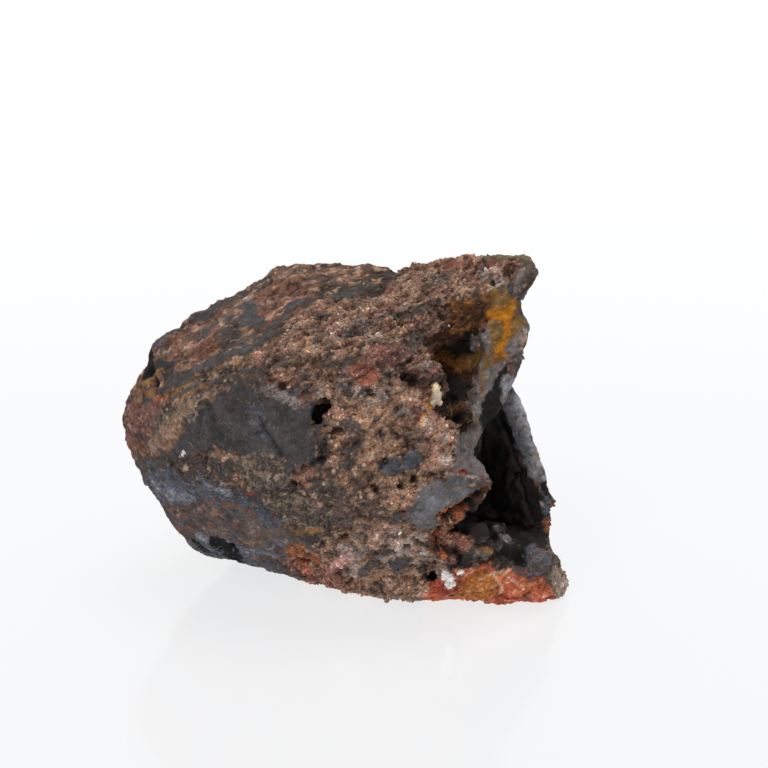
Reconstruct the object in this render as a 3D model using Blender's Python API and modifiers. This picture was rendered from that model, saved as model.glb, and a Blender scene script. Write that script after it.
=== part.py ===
"""A broken goethite geode: a lump of iron ore with a hollow in its right side, and the black goethite crust
that lines the hollow.

The numbers below are millimetres and become metres on the way into a mesh. X runs to the right, Y away from
the viewer and Z up. The lump is blocked out from convex chunks, each the hull of the corners where broken
faces meet. The hollow and a second pocket are cut out, the surface is weathered into chips and ledges, small
pits are sunk into it, and the foot is worn flat. The crust is grown from the walls of the hollow.
"""

import math

import bmesh
import bpy
from mathutils import Matrix, Vector, noise

MM = 0.001

# Driving sizes.
FLOOR = 0.0  # height of the worn foot
SKIN = 0.45  # what weathering leaves outside the blocked-out faces
GRAIN = 0.75  # size of the cells that join the chunks and hold the weathered surface
ROCK_TRIANGLES = 8000
CRUST_GAP = 0.3  # space between the rock and the crust
CRUST_THIN = 0.6
CRUST_KNOBS = 0.9  # how far the kidney-shaped knobs stand above the thin crust
KNOB_SIZE = 3.2

ROCK_BROWN = (0.19, 0.13, 0.1, 1.0)
CRUST_BLACK = (0.02, 0.018, 0.017, 1.0)

# Corners of the broken faces.
BODY = (
    (-35, 11, 23.6), (-35.6, 11, 26.8), (-34.3, 12, 29.5), (-33, 13, 32.2), (-32.1, 15, 34.5),
    (-32.2, 10, 18), (-30.5, 10, 14.9), (-27.9, 10, 8.4), (-24.6, 9, 5.6),
    (-20, 7, 5.4), (-15.2, 4.5, 4.8), (-7.8, 1, 4), (2.3, -2.5, 3.5), (11.4, -4, 3.1), (15, -5, 4),
    (-31.3, 17, 36.5), (-29.2, 18, 38.5), (-25.6, 20, 40.2), (-22.5, 22, 41.4), (-17.5, 24, 43.4),
    (-12.7, 26, 46.2), (-7.6, 28, 47.5), (-1, 28, 47.5), (7, 28, 46.8),
    (-24, 0, 34.4), (-13, -4, 40.7), (-2, -4, 44), (5, -3, 43.6), (14, -3, 40),
    (-20, -2, 22), (-10, -8, 24), (4, -10, 22), (14, -9, 20),
    (25.4, -7, 22.9), (23.4, -6, 21.6), (17, -6.5, 16.5), (15.4, -5, 9.5),
    (-20, 33, 30), (-5, 37, 28), (12, 34, 25), (-18, 32, 8), (0, 35, 6), (14, 32, 4),
    (-16, 19.5, -0.5), (-10, 14.5, -0.5), (-2, 9, -0.5), (12, 2.6, -0.5), (16, 28, -0.5), (-12, 30, -0.5),
)
HORN_TIP = (
    (7, 28, 47.1), (15.2, 26, 49.4), (19.3, 24, 50.6), (22.9, 20, 51.8), (27.3, 19, 51.7), (31.2, 15, 50.9),
    (31.1, 14.5, 49.5), (27.8, 13.5, 48.2), (27.3, 12, 45.3), (22, 8, 42), (10, 29, 36), (8, 14, 38),
)
HORN_ROOT = (
    (27.7, 13, 45.3), (28.7, 12, 42.6), (28, 12, 40.4), (26.4, 12, 38.3), (24.5, 11, 35), (22, 4, 30.3),
    (21.5, -2, 27.5), (12, 8, 26), (15, 28, 30), (22, 8, 42), (10, 29, 44), (8, 12, 38), (21, 18, 46),
)
BACK_WALL = (
    (24.9, 13.5, 33.8), (26.7, 12, 31.5), (27.6, 10.5, 28), (28, 9.5, 25.4), (29.3, 8, 22.9),
    (30.8, 7, 19.9), (32.4, 5.5, 18), (32.6, 5, 15.6), (32.2, 5, 13), (32.4, 4.5, 8.9),
    (24, 18, 33), (28, 16, 22), (29.5, 13, 10), (28, 11, 2), (14, 25, 34), (14, 30, 5), (12, 12, 30), (12, 12, 5),
)
LOBE = (
    (31.8, 4.5, 7.2), (33.6, 4, 6), (34.4, 3.5, 4.9), (35.3, 3, 3), (35.3, 3.5, 0), (34, 1.2, 0.5),
    (27.6, 0, 0.9), (23.2, 0.2, -0.5), (19.6, -2, 1.6), (17, -3.2, 2.6), (28, -2, 6), (23, -2, 6.2),
    (15, -5, 4.5), (12, 2.6, -0.5), (26, 14, -0.5), (30, 10, -0.5), (15, -3, 10), (28, 12, 8),
    (16, 28, -0.5), (14, 28, 14),
)
REAR_LEDGE = (
    (-26, 26, 37), (-12, 30, 44.5), (8, 31, 44), (14, 33, 33), (-24, 31, 26), (-8, 39.5, 24), (11, 37.5, 20),
    (-4, 33, 12), (0, 20, 30),
)
REAR_FILL = (
    (9, 34, 36), (16, 29.5, 40), (22, 23, 38), (24.5, 19.5, 28), (22, 25, 12), (13, 34, 8), (17, 29, 2),
    (24, 19, 3), (10, 20, 20),
)
TOP_FILL = (
    (-1, 14, 45.2), (6, 8, 44.2), (9, 14, 45.2), (14, 8, 45.4), (16, 20, 48.2), (9, 24, 47.8), (2, 26, 47.3),
    (4, 14, 40), (13, 15, 40),
)
CHUNKS = {
    "body": BODY, "horn_tip": HORN_TIP, "horn_root": HORN_ROOT, "back_wall": BACK_WALL, "lobe": LOBE,
    "rear_ledge": REAR_LEDGE, "rear_fill": REAR_FILL, "top_fill": TOP_FILL,
}

# Corners of what is missing. Those far outside the rock only hold the mouth open.
HOLLOW = (
    (24.2, 12, 35.2), (25.4, 12.8, 34), (22.6, 7, 32.8), (21.2, 2, 29.6), (22, -2, 26.4), (25, -6.5, 22.2),
    (21, -6, 20.4), (18.4, -6, 18), (16.2, -6, 16.4), (15.1, -6, 13.4), (16, -6, 9.5),
    (26.2, 12.6, 31), (26.9, 10.7, 25.4), (28.6, 8, 19.7), (31.2, 5.6, 16), (31.7, 4.8, 11), (31, 4.8, 9),
    (21, 15, 26), (21, 15, 18), (24, 13, 10), (18, 14, 12), (14, 12, 20), (13, 4, 18), (15, 1, 11),
    (17, -3, 8.2), (22, -2, 7.6), (27, -1, 7.4), (30, 2, 7.6), (22, 8, 7.6),
    (28, 0, 34), (36, -8, 24), (36, -8, 12), (30, -14, 30), (34, -10, 9.5),
    (21, -14, 23), (18.4, -14, 20.5), (16.2, -14, 18.5), (15.1, -13, 15.5), (16, -12, 9),
)
POCKET = (
    (15.6, 1, 42), (15.6, -0.5, 37), (15.6, -2, 33), (15.8, -2.5, 30), (19, -1, 29),
    (18.5, 2, 31), (19.5, 4, 34), (22, 9, 38), (21, 10, 43), (17, 10, 44.5),
    (14, 12, 39), (18, 13, 35), (13, 9, 29), (12.5, 5, 33),
    (18, -10, 42), (22, -6, 46), (17, -12, 36),
)
GULLY = (
    (4, 1, 45.2), (7, 3, 42), (11, 1, 40), (15.6, 0.5, 37), (17, 8, 38.5), (12, 9, 41), (7, 9, 43.5),
    (15, 12, 43), (5, -1, 52), (15.6, -2, 50), (18, 14, 52), (7, 12, 54),
)
SHOULDER = (
    (17.5, -8, 25.4), (25.6, -7, 23.6), (23.4, -2, 26.6), (22, 2, 29.4), (19, 2.5, 30), (17.4, -3, 31),
    (20, -16, 34), (30, -12, 32), (26, -2, 38), (17.5, -14, 30),
)
REAR_CHIP = (
    (-30, 30, 20), (-22, 34.5, 24), (-14, 36, 6), (-26, 26, 4), (-34, 34, 16), (-20, 44, 12), (-20, 40, 0),
)
SPACES = {"hollow": HOLLOW, "pocket": POCKET, "gully": GULLY, "shoulder": SHOULDER, "rear_chip": REAR_CHIP}

# The splinter that ends the front wall, pointing right over the hollow.
SPLINTER = (
    (24.2, -6.6, 23.2), (15.6, -7.2, 25.2), (21.8, -3, 26.4), (17, -4, 27), (12, -8.3, 20.5),
    (15.8, -7.2, 15.4), (18.8, -6.9, 17.6), (21.4, -6.7, 20.2), (14.5, -3, 20), (18, -3, 22.5),
)

# Lumps left standing in the hollow and on the lip of the pocket: centre, radius.
LUMPS = (
    ((18, -3, 12.5), 3.0), ((20.5, 0, 9.5), 2.6), ((17.5, -5, 9), 2.6), ((25.6, 4, 8.2), 2.5),
    ((30.1, 1, 6.6), 2.6), ((22.5, 6, 8.5), 2.2), ((28, 6, 8), 2.0), ((16.4, -2, 31.2), 1.9),
    ((19.2, -0.6, 31.4), 1.9), ((17.6, -1, 33), 1.5),
)

# Small pits: centre of the mouth, half width, half height, depth. Each is a bore of this many sides.
PITS = (
    ((-3.8, -6.2, 34.7), 0.9, 1.8, 4.0), ((-1.5, -4.9, 40.6), 1.2, 0.8, 2.5),
    ((-6, -4.9, 39.2), 0.7, 0.8, 2.0), ((-9.8, -4.8, 38.6), 0.9, 0.5, 2.0),
    ((9.7, -8.3, 24), 1.2, 0.7, 2.5), ((7.8, -7.2, 29.3), 0.7, 0.8, 2.0),
    ((14, -6, 7.2), 1.2, 1.0, 2.5), ((-1.2, -7, 31.6), 0.6, 1.4, 1.5),
)
PIT_SIDES = 9

# Swells and sags of the skin: centre, reach, height.
SWELLS = (
    ((5, -5, 38), 8, 0.7), ((8, -8, 28), 9, 0.6), ((-15, -5, 31), 9, -0.8), ((-18, 2, 11), 6, 0.8),
    ((-27, 3, 26), 5, 0.8), ((-32, 15, 35), 3, -1.0), ((1, 28, 47), 3, -0.8), ((-10, 24, 45), 6, 0.5),
    ((30, 30, 20), 9, 1.5), ((0, 38, 12), 8, 1.2),
)

# Places that broke clean and stayed smooth: centre, reach.
CLEAN_BREAKS = (
    ((-15, -5, 31), 10), ((18, -7, 22), 6), ((27, 12, 42), 8), ((23, 3, 31), 5), ((28, 8, 24), 7),
    ((-18, 2, 11), 6), ((21, -3, 26), 5),
)

# The crust covers the walls of the hollow, from its foot to just short of the mouth.
MOUTH = Vector((0.81, -0.38, 0.45)).normalized()
CRUST_FRONT = 27.5  # how far along MOUTH from the origin it reaches
CRUST_NEAR = 1.0
CRUST_FOOT = 10.0
CRUST_REACH = 1.6  # how far from the hollow's blocked-out walls a face still counts as wall


def clear_scene():
    for old in list(bpy.data.objects):
        bpy.data.objects.remove(old, do_unlink=True)


def new_collection(name):
    made = bpy.data.collections.new(name)
    bpy.context.scene.collection.children.link(made)
    return made


def hull(name, corners, collection):
    """The convex solid whose corners are these points."""
    bm = bmesh.new()
    for corner in corners:
        bm.verts.new(Vector(corner) * MM)
    made = bmesh.ops.convex_hull(bm, input=bm.verts)
    spare = {v for v in made["geom_interior"] + made["geom_unused"] if isinstance(v, bmesh.types.BMVert)}
    bmesh.ops.delete(bm, geom=list(spare), context="VERTS")
    bmesh.ops.recalc_face_normals(bm, faces=bm.faces)
    mesh = bpy.data.meshes.new(name)
    bm.to_mesh(mesh)
    bm.free()
    solid = bpy.data.objects.new(name, mesh)
    collection.objects.link(solid)
    return solid


def bake(solid):
    """Applies the solid's modifiers to its mesh."""
    bpy.context.view_layer.update()
    graph = bpy.context.evaluated_depsgraph_get()
    mesh = bpy.data.meshes.new_from_object(solid.evaluated_get(graph))
    solid.modifiers.clear()
    solid.data = mesh


def combine(solid, other, operation):
    """Joins the other solid to this one, or cuts it out, and uses it up."""
    boolean = solid.modifiers.new(operation.lower(), "BOOLEAN")
    boolean.operation = operation
    boolean.object = other
    other.hide_render = True
    bake(solid)
    bpy.data.objects.remove(other, do_unlink=True)


def remesh(solid, cell):
    voxels = solid.modifiers.new("cells", "REMESH")
    voxels.mode = "VOXEL"
    voxels.voxel_size = cell * MM
    bake(solid)


def falloff(point, centre, reach):
    """1 at the centre, fading to 0 at the reach."""
    near = max(0.0, 1.0 - (point - Vector(centre)).length / reach)
    return near * near * (3.0 - 2.0 * near)


def chips(point, size):
    """Height of a skin broken into flat chips of about this size, each leaning its own way."""
    spot = point / size
    middle = noise.voronoi(spot)[1][0]
    lean = noise.cell_vector(middle * 9.7) - Vector((0.5, 0.5, 0.5))
    return lean.dot(spot - middle) * 2.0


def weathering(point):
    """How far the skin moves outwards here."""
    clean = max(falloff(point, centre, reach) for centre, reach in CLEAN_BREAKS)
    rough = 1.0 - 0.75 * clean
    height = SKIN
    height += 0.6 * noise.fractal(point / 14.0, 1.0, 2.0, 3)
    height += 0.55 * (0.5 + 0.5 * rough) * chips(point, 7.0)
    height += 0.35 * rough * chips(point + Vector((3, 1, 7)), 3.2)
    height += 0.35 * rough * noise.fractal(point / 2.6, 0.8, 2.1, 3)
    height += sum(rise * falloff(point, centre, reach) for centre, reach, rise in SWELLS)
    return height


def weather(solid):
    """Moves each point of the skin along its normal."""
    moves = [vertex.normal * weathering(vertex.co / MM) * MM for vertex in solid.data.vertices]
    for vertex, move in zip(solid.data.vertices, moves):
        vertex.co += move


def lump(name, centre, radius, collection):
    """A rough ball, squashed a little."""
    bm = bmesh.new()
    bmesh.ops.create_icosphere(bm, subdivisions=2, radius=radius * MM)
    for vertex in bm.verts:
        vertex.co *= 1.0 + 0.35 * noise.noise(vertex.co / MM * 0.6 + Vector(centre))
        vertex.co += Vector(centre) * MM
    mesh = bpy.data.meshes.new(name)
    bm.to_mesh(mesh)
    bm.free()
    solid = bpy.data.objects.new(name, mesh)
    collection.objects.link(solid)
    return solid


def pit(name, mouth, half_width, half_height, depth, collection):
    """A pointed bore with an oval mouth, running back from the front face."""
    corners = []
    for turn in range(PIT_SIDES):
        angle = turn * math.tau / PIT_SIDES
        across = Vector((half_width * math.cos(angle), 0, half_height * math.sin(angle)))
        across *= 0.9 + 0.25 * noise.cell(Vector(mouth) + across)
        corners.append(Vector(mouth) + across * 1.2 - Vector((0, 2.0, 0)))
        corners.append(Vector(mouth) + across + Vector((0, 0.4 * depth, 0)))
    corners.append(Vector(mouth) + Vector((0, depth, 0)))
    return hull(name, corners, collection)


def thin(solid, triangles):
    """Collapses the faces down to about this many triangles."""
    solid.data.calc_loop_triangles()
    collapse = solid.modifiers.new("collapse", "DECIMATE")
    collapse.ratio = triangles / len(solid.data.loop_triangles)
    collapse.use_collapse_triangulate = True
    bake(solid)


def wear_flat(solid, height, collection):
    """Takes off everything below this height."""
    size = 200.0
    bm = bmesh.new()
    bmesh.ops.create_cube(bm, size=size * MM, matrix=Matrix.Translation((0, 0, (height - size / 2) * MM)))
    mesh = bpy.data.meshes.new("ground")
    bm.to_mesh(mesh)
    bm.free()
    ground = bpy.data.objects.new("ground", mesh)
    collection.objects.link(ground)
    combine(solid, ground, "DIFFERENCE")


def knob(point):
    """Height of the kidney-shaped knobs goethite grows in: 1 on their tops, 0 in the seams between them."""
    nearest = noise.voronoi(point / KNOB_SIZE)[0][0]
    return max(0.0, 1.0 - (nearest / 0.75) ** 2)


def lines_hollow(face, planes):
    """True for a face of the rock that is a wall of the hollow, and not a lump standing in it."""
    point = face.calc_center_median() / MM
    return abs(max(normal.dot(point - corner) for normal, corner in planes)) < CRUST_REACH


def cut_away(bm, point, direction):
    """Cuts the surface along a plane and drops what lies beyond it."""
    everything = list(bm.verts) + list(bm.edges) + list(bm.faces)
    bmesh.ops.bisect_plane(bm, geom=everything, plane_co=point * MM, plane_no=direction, clear_outer=True)


def trim_teeth(bm, rounds):
    """Deletes faces that hang on by one edge, so that the border runs smoothly."""
    for _ in range(rounds):
        teeth = [face for face in bm.faces if sum(edge.is_boundary for edge in face.edges) > 1]
        bmesh.ops.delete(bm, geom=teeth, context="FACES")


def hull_planes(corners):
    """(normal, corner) of each face of the hull of these corners."""
    bm = bmesh.new()
    for corner in corners:
        bm.verts.new(corner)
    bmesh.ops.convex_hull(bm, input=bm.verts)
    bmesh.ops.recalc_face_normals(bm, faces=bm.faces)
    planes = [(face.normal.copy(), face.verts[0].co.copy()) for face in bm.faces]
    bm.free()
    return planes


def keep_largest(bm):
    """Deletes every group of joined faces but the largest."""
    left = set(bm.faces)
    groups = []
    while left:
        group = {left.pop()}
        edge_of = list(group)
        while edge_of:
            face = edge_of.pop()
            near = {other for edge in face.edges for other in edge.link_faces} & left
            left -= near
            group |= near
            edge_of.extend(near)
        groups.append(group)
    keep = max(groups, key=len)
    bmesh.ops.delete(bm, geom=[face for face in bm.faces if face not in keep], context="FACES")


def line_hollow(name, rock, collection):
    """The crust: the rock's faces inside the hollow, copied a little way off the rock and thickened."""
    bm = bmesh.new()
    bm.from_mesh(rock.data)
    planes = hull_planes(HOLLOW)
    bmesh.ops.delete(bm, geom=[face for face in bm.faces if not lines_hollow(face, planes)], context="FACES")
    cut_away(bm, MOUTH * CRUST_FRONT, MOUTH)
    cut_away(bm, Vector((0, CRUST_NEAR, 0)), Vector((0, -1, 0)))
    cut_away(bm, Vector((0, 0, CRUST_FOOT)), Vector((0, 0, -1)))
    keep_largest(bm)
    bmesh.ops.triangulate(bm, faces=bm.faces)
    trim_teeth(bm, 3)
    keep_largest(bm)
    bm.normal_update()
    normals = {vertex: vertex.normal.copy() for vertex in bm.verts}
    for vertex, normal in normals.items():
        vertex.co += normal * CRUST_GAP * MM
    back = list(bm.faces)
    grown = bmesh.ops.extrude_face_region(bm, geom=back, use_keep_orig=True)["geom"]
    front = [item for item in grown if isinstance(item, bmesh.types.BMVert)]
    lifts = [v.normal * (CRUST_THIN + CRUST_KNOBS * knob(v.co / MM)) * MM for v in front]
    for vertex, lift in zip(front, lifts):
        vertex.co += lift
    bmesh.ops.recalc_face_normals(bm, faces=bm.faces)
    mesh = bpy.data.meshes.new(name)
    bm.to_mesh(mesh)
    bm.free()
    crust = bpy.data.objects.new(name, mesh)
    collection.objects.link(crust)
    return crust


def coloured(solid, colour, roughness):
    """Gives the solid a material of its own."""
    material = bpy.data.materials.new(solid.name)
    material.use_nodes = True
    surface = material.node_tree.nodes["Principled BSDF"]
    surface.inputs["Base Color"].default_value = colour
    surface.inputs["Roughness"].default_value = roughness
    surface.inputs["Metallic"].default_value = 0.0
    solid.data.materials.clear()
    solid.data.materials.append(material)


def settle(solids):
    """Moves the meshes so that the middle of the foot of their box is the origin."""
    points = [vertex.co for solid in solids for vertex in solid.data.vertices]
    low = Vector(min(point[axis] for point in points) for axis in range(3))
    high = Vector(max(point[axis] for point in points) for axis in range(3))
    foot = Vector(((low.x + high.x) / 2, (low.y + high.y) / 2, low.z))
    for solid in solids:
        solid.data.transform(Matrix.Translation(-foot))


def main():
    clear_scene()
    part = new_collection("goethite_geode")
    cutters = new_collection("cutters")
    chunks = [hull(name, corners, part) for name, corners in CHUNKS.items()]
    rock = chunks[0]
    for chunk in chunks[1:]:
        combine(rock, chunk, "UNION")
    for name, corners in SPACES.items():
        combine(rock, hull(name, corners, cutters), "DIFFERENCE")
    combine(rock, hull("splinter", SPLINTER, cutters), "UNION")
    for number, (centre, radius) in enumerate(LUMPS):
        combine(rock, lump(f"lump_{number}", centre, radius, cutters), "UNION")
    rock.name = "matrix"
    remesh(rock, GRAIN)
    weather(rock)
    remesh(rock, GRAIN)
    thin(rock, ROCK_TRIANGLES)
    for number, (mouth, half_width, half_height, depth) in enumerate(PITS):
        combine(rock, pit(f"pit_{number}", mouth, half_width, half_height, depth, cutters), "DIFFERENCE")
    wear_flat(rock, FLOOR, cutters)
    crust = line_hollow("goethite_crust", rock, part)
    coloured(rock, ROCK_BROWN, 0.85)
    coloured(crust, CRUST_BLACK, 0.5)
    settle((rock, crust))


main()
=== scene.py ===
"""Looks of the goethite geode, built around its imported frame.

A fine skin is grown from the solid of the ore and weathered by code: crumbly and sugary in some
places, smooth slate in others. What lies where is a list of areas and marks, each an outline or a
stroke through places of the photograph, cast onto the rock, so that it stays where it is from every
side. Loose grains are scattered over the crumbly places, the hollow gets its black knobbly goethite,
and a few quartz crystals are set in.
Lengths are millimetres in the lists and become metres on the way into a mesh.
"""

import math

import bmesh
import bpy
import numpy as np
from mathutils import Matrix, Vector, noise
from mathutils.bvhtree import BVHTree
from mathutils.kdtree import KDTree


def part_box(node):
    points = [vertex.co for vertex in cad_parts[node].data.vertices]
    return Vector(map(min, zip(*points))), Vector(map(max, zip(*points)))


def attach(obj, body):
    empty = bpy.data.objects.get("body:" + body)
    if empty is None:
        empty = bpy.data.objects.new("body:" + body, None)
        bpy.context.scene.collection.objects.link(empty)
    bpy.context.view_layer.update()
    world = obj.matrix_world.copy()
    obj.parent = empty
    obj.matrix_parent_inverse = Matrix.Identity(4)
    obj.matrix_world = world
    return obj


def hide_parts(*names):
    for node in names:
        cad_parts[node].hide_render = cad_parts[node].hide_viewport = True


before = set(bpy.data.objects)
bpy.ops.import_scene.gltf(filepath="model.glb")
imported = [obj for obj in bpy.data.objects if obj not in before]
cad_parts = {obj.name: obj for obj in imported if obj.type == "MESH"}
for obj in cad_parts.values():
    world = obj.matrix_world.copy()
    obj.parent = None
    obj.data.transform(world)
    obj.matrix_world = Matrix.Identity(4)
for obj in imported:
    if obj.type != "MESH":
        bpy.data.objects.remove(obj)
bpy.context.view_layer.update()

MM = 0.001
BODY = "root"

# Camera, at the photograph's angle. The photograph is square.
PHOTO = 768
LENS = 100.0
SENSOR = 36.0
FOCAL = PHOTO * LENS / SENSOR  # in the photograph's pixels
LOOK_DOWN = math.radians(20)
LOOK_AT = Vector((6.1, -6.7, 34.0))
CAMERA_AWAY = 333.0

# Skin of the rock.
SKIN_CELL = 0.63
LINING_CELL = 0.3  # of the hollow's lining
SKIN_BEYOND = 0.3  # how far the skin may stand out past the solid's box
CARRIED = 5.0  # how far what the photograph shows is carried on round the rock
PIXELS_PER_MM = 6.4
FACING = 0.35  # how far a face turns to the camera, from 0 to 1, to get the finer grains
STREAK = Vector((0.75, 0.62, 0.12)).normalized()  # the way the layers of the ore run

# Loose grains, where the camera sees them and elsewhere: the least spacing, the smallest and the largest.
FRONT_GRAINS = (0.27, 0.12, 0.4)
FAR_GRAINS = (0.45, 0.18, 0.55)

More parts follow.
